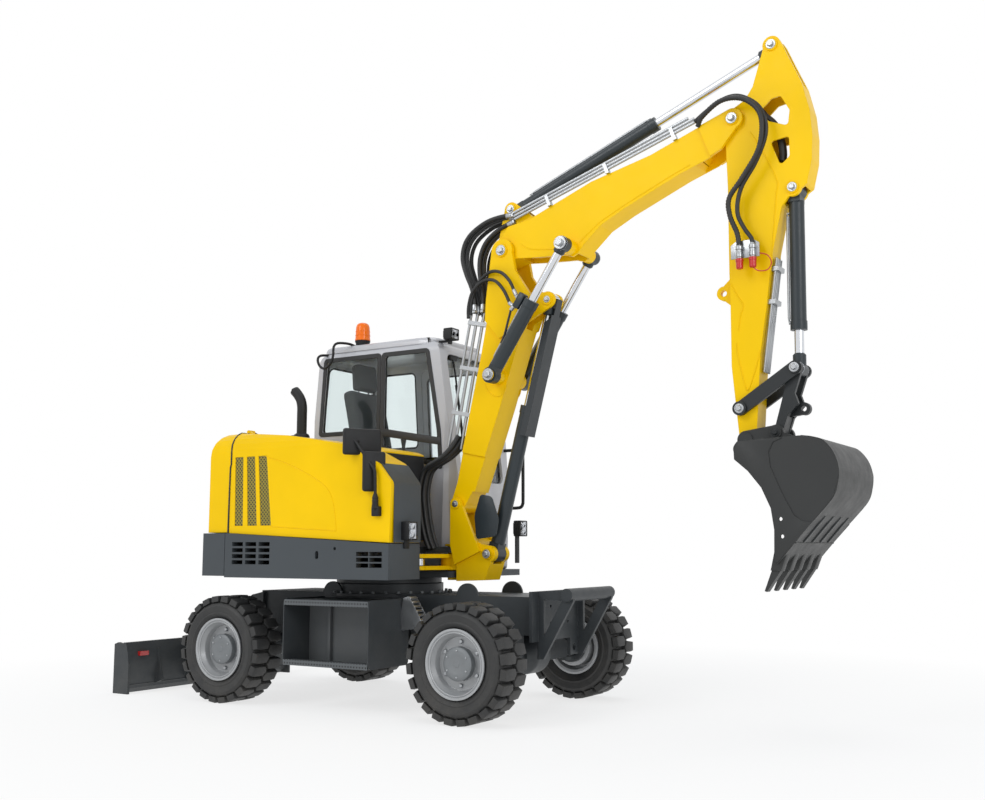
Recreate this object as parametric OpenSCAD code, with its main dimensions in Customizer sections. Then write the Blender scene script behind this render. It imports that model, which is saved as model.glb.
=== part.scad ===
// Compact wheeled excavator with a two-piece boom, dozer blade and backhoe bucket. Millimetres.
// X runs forward, Y to the machine's left, Z up. The ground is z = 0.

/* [Wheels] */
// Distance between the axles
wheelbase = 2180; // [1900:10:2500]
// Distance between the tyre centres on one axle
track = 1670; // [1600:10:1800]
// Outside diameter of a tyre over its lugs
tyre_od = 810; // [760:5:860]
// Width of a tyre
tyre_w = 300; // [260:5:330]
// Diameter of the rim's flange
rim_od = 470; // [430:5:500]
// Lugs on each half of a tyre
lug_count = 24; // [16:1:28]
// Height of a lug above the tread
lug_h = 24; // [12:1:30]
// Radius of the wheel spindles
spindle_r = 45; // [35:1:52]

/* [Chassis] */
// Height of the chassis top above the ground
chassis_top = 830; // [800:5:850]
// Depth of the chassis box
chassis_depth = 270; // [220:5:290]
// Half width of the chassis box
chassis_half = 330; // [300:5:360]
// Plate thickness of frames
plate = 25; // [16:1:30]
// Radius of the slewing ring
ring_r = 420; // [380:5:450]
// Distance of the slewing axis behind the middle of the wheelbase
slew_back = 190; // [150:5:230]
// Length of a step box
step_len = 790; // [700:10:840]
// Height of the lowest tread
step_z = 335; // [310:5:360]

/* [Blade] */
// Width of the dozer blade
blade_w = 1940; // [1800:10:1980]
// Height of the dozer blade
blade_h = 410; // [360:5:450]
// Distance of the blade's pivots behind the rear axle
blade_pivot_back = 260; // [230:5:300]
// Reach of the blade from its pivots
blade_reach = 915; // [860:5:950]

/* [Upper carriage] */
// Height of the upper carriage floor above the ground
deck_z = 950; // [940:5:970]
// Tail swing radius
tail_r = 1470; // [1420:5:1500]
// Half width of the upper carriage
upper_half = 940; // [900:5:960]
// Height of the counterweight
weight_h = 335; // [300:5:360]
// Height of the engine hood above the counterweight
hood_h = 790; // [700:5:820]
// Sheet thickness of the hoods
sheet = 12; // [8:1:20]
// Position of the seam between the hoods behind the slewing axis
hood_seam = 877; // [860:1:885]

/* [Cab] */
// Right wall of the cab, left of the machine's centre line
cab_right = 40; // [30:5:60]
// Length of the cab
cab_len = 1460; // [1350:10:1500]
// Height of the cab
cab_h = 1862; // [1750:2:1900]
// Wall thickness of the cab
cab_wall = 40; // [30:1:50]
// Thickness of the windows
glass = 6; // [4:1:10]
// Width of the door
door_w = 760; // [650:10:800]

/* [Booms] */
// Position of the boom swing axis ahead of the middle of the wheelbase
king_x = 420; // [410:5:440]
// Length of the lower boom between its pins
lower_len = 1976; // [1900:5:2050]
// Lean of the lower boom from upright
lower_lean = 12.3; // [8:0.1:16]
// Length of the upper boom between its pins
upper_len = 1977; // [1900:5:2050]
// Rise of the upper boom above level
upper_rise = 20.3; // [16:0.1:24]
// Half width of the boom boxes
boom_half = 103; // [98:1:106]
// Length of the stick between its pins
stick_len = 2240; // [2150:5:2300]
// Half width of the stick
stick_half = 85; // [80:1:88]
// Pin radius of the large joints
pin_r = 38; // [30:1:42]
// Gap at the side of a moving joint
joint_gap = 5; // [5:0.5:8]
// Running clearance of a pin in its bore
pin_play = 0.05; // [0.02:0.01:0.1]

/* [Bucket] */
// Width of the bucket
bucket_w = 860; // [800:10:920]
// Plate thickness of the bucket
bucket_t = 20; // [12:1:28]
// Number of bucket teeth
teeth = 5; // [3:1:6]
// Width of a tooth
tooth_w = 62; // [45:1:75]

/* [Hydraulics] */
// Outside radius of the lift cylinder
lift_r = 58; // [52:1:62]
// Outside radius of the adjusting cylinders
adjust_r = 58; // [50:1:60]
// Outside radius of the stick cylinder
stick_r = 53; // [48:1:58]
// Outside radius of the bucket cylinder
bucket_r = 56; // [48:1:58]
// Outside radius of the blade cylinders
blade_r = 42; // [36:1:46]
// Outside radius of the swing cylinder
swing_r = 44; // [38:1:46]

/* [Hidden] */
$fn = 48;

yellow = [0.93, 0.74, 0.02];
grey = [0.33, 0.35, 0.36];
dark = [0.16, 0.17, 0.18];
silver = [0.76, 0.77, 0.79];
black = [0.06, 0.06, 0.06];
clear = [0.6, 0.75, 0.8, 0.4];
orange = [0.95, 0.45, 0.05];
red = [0.75, 0.05, 0.05];

eps = 1;
big = 4000;
axle_x = wheelbase / 2;
wheel_z = tyre_od / 2;
wheel_y = track / 2;
slew_x = -slew_back;
swivel_y = wheel_y - tyre_w / 2 - 85;
weight_top = deck_z + weight_h + joint_gap;
hood_top = weight_top + hood_h;
seam_x = slew_x - hood_seam;
weight_x = slew_x - 897;
deck_t = 50;
deck_top = deck_z + deck_t;
cab_z = deck_top;
cab_left = upper_half + 10;
cab_front = 385;
cab_back = cab_front - cab_len;
roof_z = cab_z + cab_h;

// Point a share t of the way from a to b, moved d to the left of that line.
function at(a, b, t, d) = let (u = (b - a) / norm(b - a)) a + (b - a) * t + d * [-u[1], u[0]];
function polar(p, l, a) = p + l * [cos(a), sin(a)];
function unit(v) = v / norm(v);

// Corners rounded by arcs: each corner is x, y and radius.
arc_steps = 5;
function xy(p) = [p[0], p[1]];
function corner(a, b, c) = let (u = unit(xy(a) - xy(b)), v = unit(xy(c) - xy(b)), g = acos(u * v),
  m = xy(b) + unit(u + v) * b[2] / sin(g / 2), p = xy(b) + u * b[2] / tan(g / 2) - m,
  q = xy(b) + v * b[2] / tan(g / 2) - m, s = atan2(p[1], p[0]),
  w = atan2(p[0] * q[1] - p[1] * q[0], p * q))
  [for (k = [0:arc_steps]) polar(m, b[2], s + w * k / arc_steps)];
function rounded(p) = let (n = len(p)) [for (i = [0:n - 1])
  each (p[i][2] > 0 ? corner(p[(i + n - 1) % n], p[i], p[(i + 1) % n]) : [xy(p[i])])];

// Outline moved in by d; its points run anticlockwise.
function inset(p, d) = let (n = len(p)) [for (i = [0:n - 1])
  let (u = unit(p[i] - p[(i + n - 1) % n]), v = unit(p[(i + 1) % n] - p[i]),
    a = [-u[1], u[0]], b = [-v[1], v[0]]) p[i] + d * (a + b) / (1 + a * b)];

// Pins of the arm, as x and z.
foot = [535, 1511];
knee = polar(foot, lower_len, 90 - lower_lean);
nose = polar(knee, upper_len, upper_rise);
tip = nose + stick_len * [0.0183, -0.9998];
lift_base = [812, 1131];
lift_eye = at(foot, knee, 0.836, -436);
adjust_base = at(foot, knee, 0.513, -173);
adjust_eye = at(knee, nose, 0.267, -250);
stick_base = at(knee, nose, 0.082, 296);
stick_eye = at(nose, tip, -0.213, 292);
bucket_base = at(nose, tip, 0.249, 386);
rocker_pin = at(nose, tip, 0.904, -38);
link_pin = at(nose, tip, 0.796, 345);
bucket_pin = at(nose, tip, 0.984, 202);
blade_pin = [-axle_x - blade_pivot_back, 450];
blade_base = blade_pin + [40, 290];
blade_eye = blade_pin + [-640, -120];

lug_in = 45;
lug_out = 82;
eye_gap = 0.3;
head_r = 46;
post_head = 8;
ear_in = boom_half + joint_gap;
ear_out = ear_in + 36;
fork_in = stick_half + joint_gap;
fork_out = fork_in + 28;
adjust_y = 230;
adjust_half = 36;
foot_half = 100;
small_pin = 30;
blade_y = 300;
blade_half = 20;
blade_neck = 144;
blade_rod = 18;
swing_z = deck_z + 120;
swing_base = [slew_x - 370, -340];
swing_eye = [king_x - 80, -340];

// The finished part stands on the middle of its outline.
front_end = tip[0] + 688;
rear_end = blade_pin[0] - blade_reach;
frame_x = (front_end + rear_end) / 2;

// Drawing on the X-Z plane, from y0 to y1.
module xz(y0, y1) translate([0, y1, 0]) rotate([90, 0, 0]) linear_extrude(y1 - y0) children();
module both(y0, y1) { xz(y0, y1) children(); xz(-y1, -y0) children(); }
module disk(p, r) translate(p) circle(r);
module bar(a, b, r) {
  disk(a, r);
  disk(b, r);
  polygon([at(a, b, 0, r), at(a, b, 0, -r), at(a, b, 1, -r), at(a, b, 1, r)]);
}
module rod_y(p, r, y0, y1) xz(y0, y1) disk(p, r);
module flat(z0, z1) translate([0, 0, z0]) linear_extrude(z1 - z0) children();
// Round bar along the line from p to q at y, between distances s0 and s1 from p.
module run(p, q, y, s0, s1, r) translate([p[0], y, p[1]])
  rotate([0, atan2(q[0] - p[0], q[1] - p[1]), 0]) translate([0, 0, s0]) cylinder(h = s1 - s0, r = r);
module block(x0, x1, y0, y1, z0, z1) translate([x0, y0, z0]) cube([x1 - x0, y1 - y0, z1 - z0]);

// Hydraulic cylinder: barrel with its eye at p, open bore, gland at the far end.
gland = 60;
rod_gap = 0.5;
module barrel(p, q, y, l, r, rod, half, pin, neck) {
  difference() {
    union() {
      rod_y(p, r * 1.05, y - half, y + half);
      xz(y - half, y + half) polygon([for (k = [[0, 0.7], [0, -0.7], [1, -0.7], [1, 0.7]])
        at(p, q, k[0] * (neck + 8) / norm(q - p), k[1] * r)]);
      run(p, q, y, neck, l, r * 0.92);
      run(p, q, y, l - gland, l, r);
    }
    rod_y(p, pin + pin_play, y - half - eps, y + half + eps);
    run(p, q, y, neck + 30, l - gland * 0.6, r * 0.72);
    run(p, q, y, neck + 30, l + eps, rod + rod_gap);
  }
}
// Its rod: eye with a solid core at q.
module piston(p, q, y, l, r, half, eye) {
  rod_y(q, eye, y - half, y + half);
  run(q, p, y, eye * 0.5, l, r);
}

// Wheel axis along Y at the origin.
rim_r = rim_od / 2;
carcass_r = tyre_od / 2 - lug_h;
module tyre_shape() {
  bead = rim_r - 18;
  h = tyre_w / 2;
  rotate([90, 0, 0]) rotate_extrude($fn = 72) polygon(rounded([[bead, -h + 34, 0], [rim_r + 25, -h + 8, 20],
    [rim_r + 85, -h, 30], [carcass_r - 20, -h + 22, 24], [carcass_r, -h + 62, 0], [carcass_r, h - 62, 0],
    [carcass_r - 20, h - 22, 24], [rim_r + 85, h, 30], [rim_r + 25, h - 8, 20], [bead, h - 34, 0]]));
  for (s = [-1, 1]) rotate([0, s * 90 / lug_count, 0]) tread_half(s);
}
module tread_half(s) {
  pitch = 360 / lug_count;
  top = 0.23;
  foot_share = 0.29;
  root = carcass_r - 30;
  inner = 12;
  outer = tyre_w / 2 - 20;
  translate([0, s > 0 ? outer : -inner, 0]) rotate([90, 0, 0]) linear_extrude(outer - inner)
    difference() {
      polygon([for (i = [0:lug_count - 1]) each [
        polar([0, 0], root, pitch * (i - foot_share)), polar([0, 0], tyre_od / 2, pitch * (i - top)),
        polar([0, 0], tyre_od / 2, pitch * (i + top)), polar([0, 0], root, pitch * (i + foot_share))]]);
      circle(root - 20);
    }
}
// Rim with a dished disc; s is the outer side.
module rim_shape(s) {
  h = tyre_w / 2;
  dish = 100;
  hub = 113;
  bead = rim_r - 18;
  rotate([s > 0 ? -90 : 90, 0, 0]) difference() {
    rotate_extrude($fn = 64) polygon([[spindle_r + pin_play, -h + 20], [150, -h + 20], [150, 0],
      [bead - 34, 0], [bead - 34, -h + 40], [bead - 16, -h + 34], [bead, -h + 34], [bead, h - 34],
      [rim_r, h - 20], [rim_r, h - 8], [rim_r - 14, h - 8], [bead - 14, h - 34], [bead - 30, h - 60],
      [178, h - dish], [hub, h - dish], [hub, h - 50], [hub - 20, h - 38], [0, h - 38], [0, 20],
      [spindle_r + pin_play, 20]]);
  }
}

sill_half = 430;
lug_at = [[-420, sill_half], [769, chassis_half]];
lift_lug_r = 92;
module chassis_frame() color(grey) {
  x0 = -axle_x - 160;
  x1 = axle_x + 245;
  z0 = chassis_top - chassis_depth;
  difference() {
    union() {
      block(x0, x1, -chassis_half, chassis_half, z0, chassis_top);
      flat(chassis_top - plate, chassis_top) disk([slew_x, 0], ring_r + 50);
      for (s = [-1, 1]) block(-400, 290, s > 0 ? chassis_half - eps : -sill_half, s > 0 ? sill_half : -chassis_half + eps,
        z0 + 60, chassis_top - plate);
      for (x = [-axle_x, axle_x], s = [-1, 1]) block(x - 80, x + 80, s * 245 - 55, s * 245 + 55, wheel_z + axle_seat, z0 + eps);
      both(blade_y - 60, blade_y - 25) blade_lug(x0);
      both(blade_y + 25, blade_y + 60) blade_lug(x0);
      for (l = lug_at) both(l[1] - 18, l[1]) intersection() {
        disk([l[0], chassis_top - 4], lift_lug_r);
        translate([l[0] - lift_lug_r, chassis_top - plate]) square([2 * lift_lug_r, lift_lug_r + plate]);
      }
    }
    block(-axle_x + 150, axle_x - 150, -chassis_half + plate, chassis_half - plate, z0 - eps, chassis_top - plate);
    rod_y(blade_pin, small_pin + pin_play, -big, big);
  }
  both(blade_y - 60, blade_y - 25) blade_lug_plain();
  for (s = [-1, 1]) rod_y(blade_base, small_pin - 2, s * blade_y - 30, s * blade_y + 30);
}
module blade_lug(x0) {
  difference() {
    union() {
      bar(blade_pin, blade_base, 58);
      polygon([[x0 + 40, chassis_top - 10], blade_base + [0, 58], blade_pin - [0, 58],
        [x0 + 40, chassis_top - chassis_depth - 60]]);
    }
  }
}
module blade_lug_plain() disk(blade_base, small_pin);

module front_frame() color(dark) {
  x0 = axle_x + 245;
  tube = [axle_x + 510, 850];
  y = 300;
  tie_y = y - 75;
  difference() {
    union() {
      block(x0, x0 + plate, -400, 400, 520, chassis_top + 40);
      for (s = [-1, 1]) block(x0, x0 + plate, s * tie_y - 60, s * tie_y + 60, 395, 520 + eps);
    }
    for (s = [-1, 1]) translate([x0 - eps, s * tie_y, 450]) rotate([0, 90, 0]) cylinder(h = plate + 2, r = 26);
    for (s = [-1, 1], t = [-1, 1]) translate([x0 - eps, s * 130, 700 + t * 60]) rotate([0, 90, 0])
      cylinder(h = plate + 2, r = 11);
  }
  both(y - 14, y + 14) difference() {
    polygon([[x0 + plate - eps, 400], [x0 + plate + 40, 400], tube + [40, -40], tube + [30, 36],
      [x0 + plate - eps, chassis_top + 40]]);
    polygon([[x0 + plate + 45, 560], [x0 + plate + 190, chassis_top - 20], [x0 + plate + 45, chassis_top - 15]]);
  }
  rod_y(tube, 45, -y - 40, y + 40);
}

module side_steps() color(dark) for (s = [-1, 1]) scale([1, s, 1]) {
  x0 = -step_len / 2 - 55;
  x1 = x0 + step_len;
  top = 800;
  in = 430;
  out = 950;
  t = 16;
  block(x0, x1, in, in + t, step_z, top);
  block(x0, x1, in, out, step_z, step_z + t);
  block(x0, x1, in, out - 90, step_z + 230, step_z + 230 + t);
  block(x0, x1, in, out - 200, top - t, top);
  for (x = [x0, x1 - t]) translate([x, 0, 0]) rotate([90, 0, 90]) linear_extrude(t)
    polygon([[in, step_z], [out, step_z], [out, step_z + 240], [out - 190, top], [in, top]]);
}

module rear_axle() color(grey) {
  translate([-axle_x, 0, wheel_z]) {
    axle_tube(swivel_y + 55, 88);
    axle_seats();
    diff_case();
    for (s = [-1, 1]) rotate([s > 0 ? -90 : 90, 0, 0]) {
      translate([0, 0, swivel_y + 20]) cylinder(h = 62, r = 150);
      translate([0, 0, swivel_y]) cylinder(h = wheel_y - swivel_y + 15, r = spindle_r);
    }
  }
}
axle_seat = 92;
module axle_seats() for (s = [-1, 1]) block(-70, 70, s * 245 - 50, s * 245 + 50, 0, axle_seat);
module axle_tube(h, r) rotate([90, 0, 0]) cylinder(h = 2 * h, r = r, center = true);
module diff_case() rotate([90, 0, 0]) rotate_extrude() polygon(rounded([[0, -170, 0], [95, -170, 0],
  [148, -90, 50], [148, 90, 50], [95, 170, 0], [0, 170, 0]]));

module front_axle() color(grey) {
  translate([axle_x, 0, wheel_z]) {
    axle_tube(swivel_y - 70, 74);
    axle_seats();
    diff_case();
    for (s = [-1, 1]) difference() {
      union() {
        block(-48, 48, s > 0 ? swivel_y - 90 : -swivel_y, s > 0 ? swivel_y : -swivel_y + 90, -56, 56);
        translate([0, s * swivel_y, -60]) cylinder(h = 120, r = 58);
      }
      translate([0, s * swivel_y, -80]) cylinder(h = 160, r = 25 + pin_play);
    }
  }
}
module knuckle(s) color(grey) translate([axle_x, s * swivel_y, wheel_z]) scale([1, s, 1]) {
  for (z = [-1, 1]) translate([0, 0, z > 0 ? 66 : -96]) {
    cylinder(h = 30, r = 56);
    block(-50, 50, 0, 95, 0, 30);
  }
  translate([0, 0, -92]) cylinder(h = 184, r = 25);
  block(-60, 60, 66, 96, -96, 96);
  rotate([-90, 0, 0]) translate([0, 0, 64]) cylinder(h = 36, r = 120);
  rotate([-90, 0, 0]) translate([0, 0, 70]) cylinder(h = wheel_y - swivel_y - 55, r = spindle_r);
}
module knuckle_left() knuckle(1);
module knuckle_right() knuckle(-1);

ring_bore = ring_r - 90;
module slew_ring() color(dark) difference() {
  translate([slew_x, 0, chassis_top]) cylinder(h = 70, r = ring_r + 14, $fn = 72);
  translate([slew_x, 0, chassis_top - eps]) cylinder(h = 72, r = ring_bore, $fn = 72);
}

blade_face = blade_pin[0] - blade_reach;
blade_mid = [blade_face - 330, blade_h * 0.55];
blade_bow = 500;
module dozer_blade() color(grey) {
  h = blade_w / 2;
  mid = blade_mid;
  r = blade_bow;
  root = [blade_face + 150, 150];
  xz(-h, h) intersection() {
    difference() { disk(mid, r); disk(mid, r - 26); }
    polygon([[blade_face, 40], [blade_face + 400, 40], [blade_face + 400, blade_h], [blade_face, blade_h]]);
  }
  xz(-h, h) polygon([[blade_face + 45, 0], [blade_face + 75, 0], [blade_face + 150, 70], [blade_face + 125, 80]]);
  both(h - 20, h) polygon(rounded([[blade_face, 0, 0], [blade_face + 175, 0, 0], [blade_face + 175, 240, 20],
    [blade_face + 110, blade_h - 10, 20], [blade_face + 45, blade_h, 12], [blade_face, blade_h - 15, 8]]));
  difference() {
    both(blade_y - blade_half, blade_y + blade_half) {
      bar(blade_pin, root + [60, 30], 56);
      polygon([root + [-20, -90], root + [110, -60], root + [110, 90], root + [-20, 120]]);
    }
  }
  for (s = [-1, 1]) rod_y(blade_pin, small_pin, s * blade_y - 75, s * blade_y + 75);
  xz(-blade_y, blade_y) bar(root + [70, 0], root + [150, 30], 40);
  for (y = [blade_half + eye_gap, -blade_half - eye_gap - 30]) both(blade_y + y, blade_y + y + 30) {
    disk(blade_eye, 50);
    polygon([blade_eye + [0, 50], blade_eye + [0, -50], [blade_face + 150, 90], [blade_face + 140, 380]]);
  }
  both(h - 330, h - 312) polygon([[blade_face + 140, 60], [blade_face + 230, 90], [blade_face + 160, blade_h - 60]]);
}
module blade_lamps() color(red) for (s = [-1, 1]) xz(s * (blade_w / 2 - 150) - 45, s * (blade_w / 2 - 150) + 45)
  difference() {
    polygon([[blade_face + 90, 300], [blade_face + 190, 300], [blade_face + 190, 335], [blade_face + 90, 335]]);
    translate(blade_mid) circle(blade_bow, $fn = 240);
  }
module blade_barrels() color(dark) for (s = [-1, 1])
  barrel(blade_base, blade_eye, s * blade_y, 500, blade_r, blade_rod, blade_half, small_pin - 2, blade_neck);
module blade_rods() color(silver) for (s = [-1, 1])
  piston(blade_base, blade_eye, s * blade_y, 495, blade_rod, blade_half, 40);

module tyre_at(x, s) color(black) translate([x, s * wheel_y, wheel_z]) tyre_shape();
module rim_at(x, s) color(silver) translate([x, s * wheel_y, wheel_z]) rim_shape(s);
module tyre_front_left() tyre_at(axle_x, 1);
module tyre_front_right() tyre_at(axle_x, -1);
module tyre_rear_left() tyre_at(-axle_x, 1);
module tyre_rear_right() tyre_at(-axle_x, -1);
module rim_front_left() rim_at(axle_x, 1);
module rim_front_right() rim_at(axle_x, -1);
module rim_rear_left() rim_at(-axle_x, 1);
module rim_rear_right() rim_at(-axle_x, -1);

skirt_t = 60;
deck_half = upper_half - skirt_t;
nose_x = 505;
wing_in = 560;
recess_x = 150;
king_plate_z = deck_top + 140;
module upper_frame() color(dark) {
  flat(deck_z, deck_top) difference() {
    polygon([[weight_x, -deck_half], [nose_x - 20, -deck_half], [nose_x - 20, -wing_in], [recess_x, -wing_in],
      [recess_x, -150], [king_x, -95], [king_x, 95], [recess_x + 60, 95], [king_x - 90, 190], [king_x + 30, 270],
      [king_x + 30, deck_half], [weight_x, deck_half]]);
    disk([king_x, 0], pin_r + pin_play);
    disk([slew_x, 0], ring_r - 180);
  }
  flat(deck_z, deck_top) king_ring();
  flat(king_plate_z, king_plate_z + 45) {
    king_ring();
    difference() {
      polygon([[-40, -150], [recess_x, -150], [king_x, -95], [king_x, 95], [king_x - 80, cab_right - 10],
        [-40, cab_right - 10]]);
      disk([king_x, 0], pin_r + pin_play);
    }
  }
  block(-40, 0, -150, cab_right - 10, deck_top - eps, king_plate_z + eps);
  translate([slew_x, 0, deck_z - 45]) difference() {
    union() {
      cylinder(h = 46, r = ring_r, $fn = 72);
      translate([0, 0, -65]) cylinder(h = 70, r = ring_bore - pin_play, $fn = 72);
    }
    translate([0, 0, -70]) cylinder(h = 140, r = ring_bore - 60, $fn = 72);
  }
  translate([swing_base[0], swing_base[1], deck_top - eps]) cylinder(h = swing_z + 50 - deck_top, r = small_pin);
  translate([swing_base[0], swing_base[1], deck_top - eps]) cylinder(h = swing_z - swing_r - 3 - deck_top, r = 55);
}
module king_ring() difference() { disk([king_x, 0], 95); disk([king_x, 0], pin_r + pin_play); }

module counterweight() color(grey) flat(deck_z + 10, weight_top) intersection() {
  translate([slew_x, 0]) circle(tail_r, $fn = 96);
  polygon([[weight_x, -upper_half], [weight_x, upper_half], [-big, upper_half], [-big, -upper_half]]);
}

skirt_front = 1205;
vent_w = 112;
vent_h = 30;
vent_pitch = [138, 46];
module skirt_vents() {
  for (i = [0:2], k = [0:3]) translate([weight_x + 82 + i * vent_pitch[0], deck_z + 102 + k * vent_pitch[1]])
    square([vent_w, vent_h]);
  for (i = [0:1], k = [0:2]) translate([nose_x - 290 + i * (vent_w + 8), deck_z + 86 + k * 41]) square([vent_w, vent_h]);
  bar([-153, deck_z + 160], [-153, deck_z + 188], 16);
  disk([16, deck_z + 221], 12);
}
module side_skirts() color(grey) {
  xz(-upper_half, -deck_half) difference() {
    polygon([[weight_x + joint_gap, deck_z], [nose_x, deck_z], [nose_x, skirt_front],
      [seam_x, weight_top], [weight_x + joint_gap, weight_top]]);
    skirt_vents();
  }
  block(nose_x - 20, nose_x, -deck_half - eps, -wing_in, deck_z, skirt_front);
  xz(deck_half, upper_half) polygon([[weight_x + joint_gap, deck_z], [king_x + 50, deck_z], [king_x + 50, deck_top],
    [weight_x + joint_gap, deck_top]]);
  block(king_x + 30, king_x + 50, 270, deck_half + eps, deck_z, deck_top);
}

// The hood of revolution at the tail, moved in by d.
side_r = 150;
tail_fillet = 190;
hood_half = upper_half - 20;
module tail_solid(d) {
  r = tail_r - 40 - d;
  h = hood_half - d;
  zt = hood_top - d;
  intersection() {
    translate([slew_x, 0, 0]) rotate_extrude($fn = 96) polygon(rounded([[0, weight_top + joint_gap - 2 * d, 0],
      [r, weight_top + joint_gap - 2 * d, 0], [r, zt, tail_fillet - d], [0, zt, 0]]));
    translate([-big, 0, 0]) rotate([90, 0, 90]) linear_extrude(big + seam_x + d * 2)
      polygon(rounded([[-h, 0, 0], [h, 0, 0], [h, zt, side_r - d], [-h, zt, side_r - d]]));
    flat(0, big) polygon([[-big, -big], [seam_x + 2 * d, -big], [seam_x + 2 * d, cab_right - 55 + d],
      [hood_left_x + 2 * d, cab_right - 55 + d], [hood_left_x + 2 * d, big], [-big, big]]);
  }
}
hood_left_x = cab_back - 60;
hinge_r = 8;
hinge_ys = [-hood_half + 185, -hood_half + 685];
hinge_out = 2 * hinge_r + 1;
hood_hinge = [seam_x + 2, hood_top + hinge_out];
// Air grilles: three leaning bands sunk into the side of the right hood, and a slot at each corner of the tail.
grille_low = weight_top + 55;
grille_high = hood_top - 200;
grille_w = 85;
grille_pitch = 122;
grille_deep = 6;
grille_lean = 12;
corner_slot = 45;
module grille_band(i) {
  x = seam_x + 50 + i * grille_pitch;
  xz(-hood_half - eps, -hood_half + grille_deep) polygon([[x, grille_high], [x + grille_w, grille_high],
    [x + grille_w + grille_lean * (1 + 2 * i), grille_low], [x + grille_lean * (1 + i), grille_low]]);
}
module rear_hood() color(yellow) difference() {
  union() {
    difference() {
      tail_solid(0);
      tail_solid(sheet);
      for (s = [-1, 1]) translate([slew_x, 0, 0]) rotate([0, 0, 180 + s * acos((hood_seam + 70) / (tail_r - 40))])
        block(tail_r / 2, tail_r, -corner_slot / 2, corner_slot / 2, grille_low, grille_high);
    }
    for (y = hinge_ys) xz(y + 35, y + 63) {
      disk(hood_hinge, 2 * hinge_r);
      polygon([hood_hinge + [0, 2 * hinge_r], [seam_x - 60, hood_top - 2], [seam_x - 4, hood_top - 2]]);
    }
  }
  rod_y(hood_hinge, hinge_r + pin_play, -big, big);
}
module bulkhead() color(yellow) block(hood_left_x + 8, cab_back - 8, cab_right - 50, hood_half - 20, weight_top, hood_top - 14);
module side_hood(d) intersection() {
  xz(-hood_half + d, cab_right - d) polygon(rounded([[seam_x + joint_gap - 3 * d, weight_top - 3 * d, 0],
    [nose_x - 10 - d, skirt_front + 7.5 - 3 * d, 0], [nose_x + 5 - d, hood_top - 440, 60],
    [nose_x - 130, hood_top - 285 - d, 120], [nose_x - 405, hood_top - 150 - d, 150],
    [nose_x - 1005, hood_top - 50 - d, 200], [seam_x + joint_gap - 3 * d, hood_top - d, 0]]));
  translate([-big, 0, 0]) rotate([90, 0, 90]) linear_extrude(2 * big)
    polygon(rounded([[-hood_half + d, 0, 0], [0, 0, 0], [0, hood_top + 50, 0], [-hood_half + d, hood_top, side_r - d]]));
  flat(0, big) polygon([[-big, -big], [big, -big], [big, -wing_in - d], [recess_x - d, -wing_in - d],
    [recess_x - d, cab_right - 55 - d], [-big, cab_right - 55 - d]]);
}
module hood_right() color(yellow) {
  difference() {
    side_hood(0);
    side_hood(sheet);
    translate([pipe_at[0], pipe_at[1], 0]) cylinder(h = big, r = pipe_r + 4);
    for (i = [0:2]) grille_band(i);
  }
  for (y = hinge_ys) {
    xz(y, y + 30) {
      disk(hood_hinge, 2 * hinge_r);
      polygon([hood_hinge + [0, 2 * hinge_r], hood_hinge + [6, -hinge_out - 6], [seam_x + 70, hood_top - 14]]);
    }
    rod_y(hood_hinge, hinge_r, y, y + 66);
  }
}
module engine_block() color(dark) block(slew_x - 1250, hood_left_x - 5, -520, 520, weight_top, weight_top + 520);

module cab_solid(d) {
  zt = roof_z - d;
  intersection() {
    xz(cab_right + d, cab_left - d) polygon(rounded([[cab_back + d, cab_z + d, 30], [cab_front - 20 - d, cab_z + d, 40],
      [cab_front + 20 - d, cab_z + 500, 100], [cab_front - 20 - d, cab_z + 900, 150],
      [cab_front - 160 - d, zt, 130], [cab_back + 60 + d, zt - 20, 110], [cab_back + d, cab_z + 1100, 200]]));
    translate([-big, 0, 0]) rotate([90, 0, 90]) linear_extrude(2 * big) polygon(rounded([
      [cab_right + d, 0, 0], [cab_left - d, 0, 0], [cab_left - d, cab_z + 1000, 200], [cab_left - 70 - d, zt, 120],
      [cab_right + 30 + d, zt, 90]]));
    flat(0, big) polygon(rounded([[cab_back + d, cab_right + d, 60], [cab_front + 25 - d, cab_right + d, 200],
      [cab_front + 25 - d, cab_left - d, 140], [cab_back + d, cab_left - d, 60]]));
  }
}
win_low = cab_z + 1010;
win_top = roof_z - 90;
door_x1 = cab_front - 120;
door_x0 = door_x1 - door_w;
module door_cut(g) xz(cab_left - 160, cab_left + 50) polygon(rounded([[door_x0 - g, cab_z + 60 - g, 40],
  [door_x1 + g, cab_z + 60 - g, 60], [door_x1 + g, cab_z + 900, 80], [door_x1 - 110 + g, roof_z - 110 + g, 60],
  [door_x0 - g, roof_z - 110 + g, 60]]));
module door_win() xz(cab_left - 200, cab_left + 60) {
  polygon(rounded([[door_x0 + 60, win_low - 260, 50], [door_x1 - 60, win_low - 260, 50],
    [door_x1 - 70, cab_z + 900, 60], [door_x1 - 165, roof_z - 180, 50], [door_x0 + 60, roof_z - 180, 50]]));
}
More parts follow.
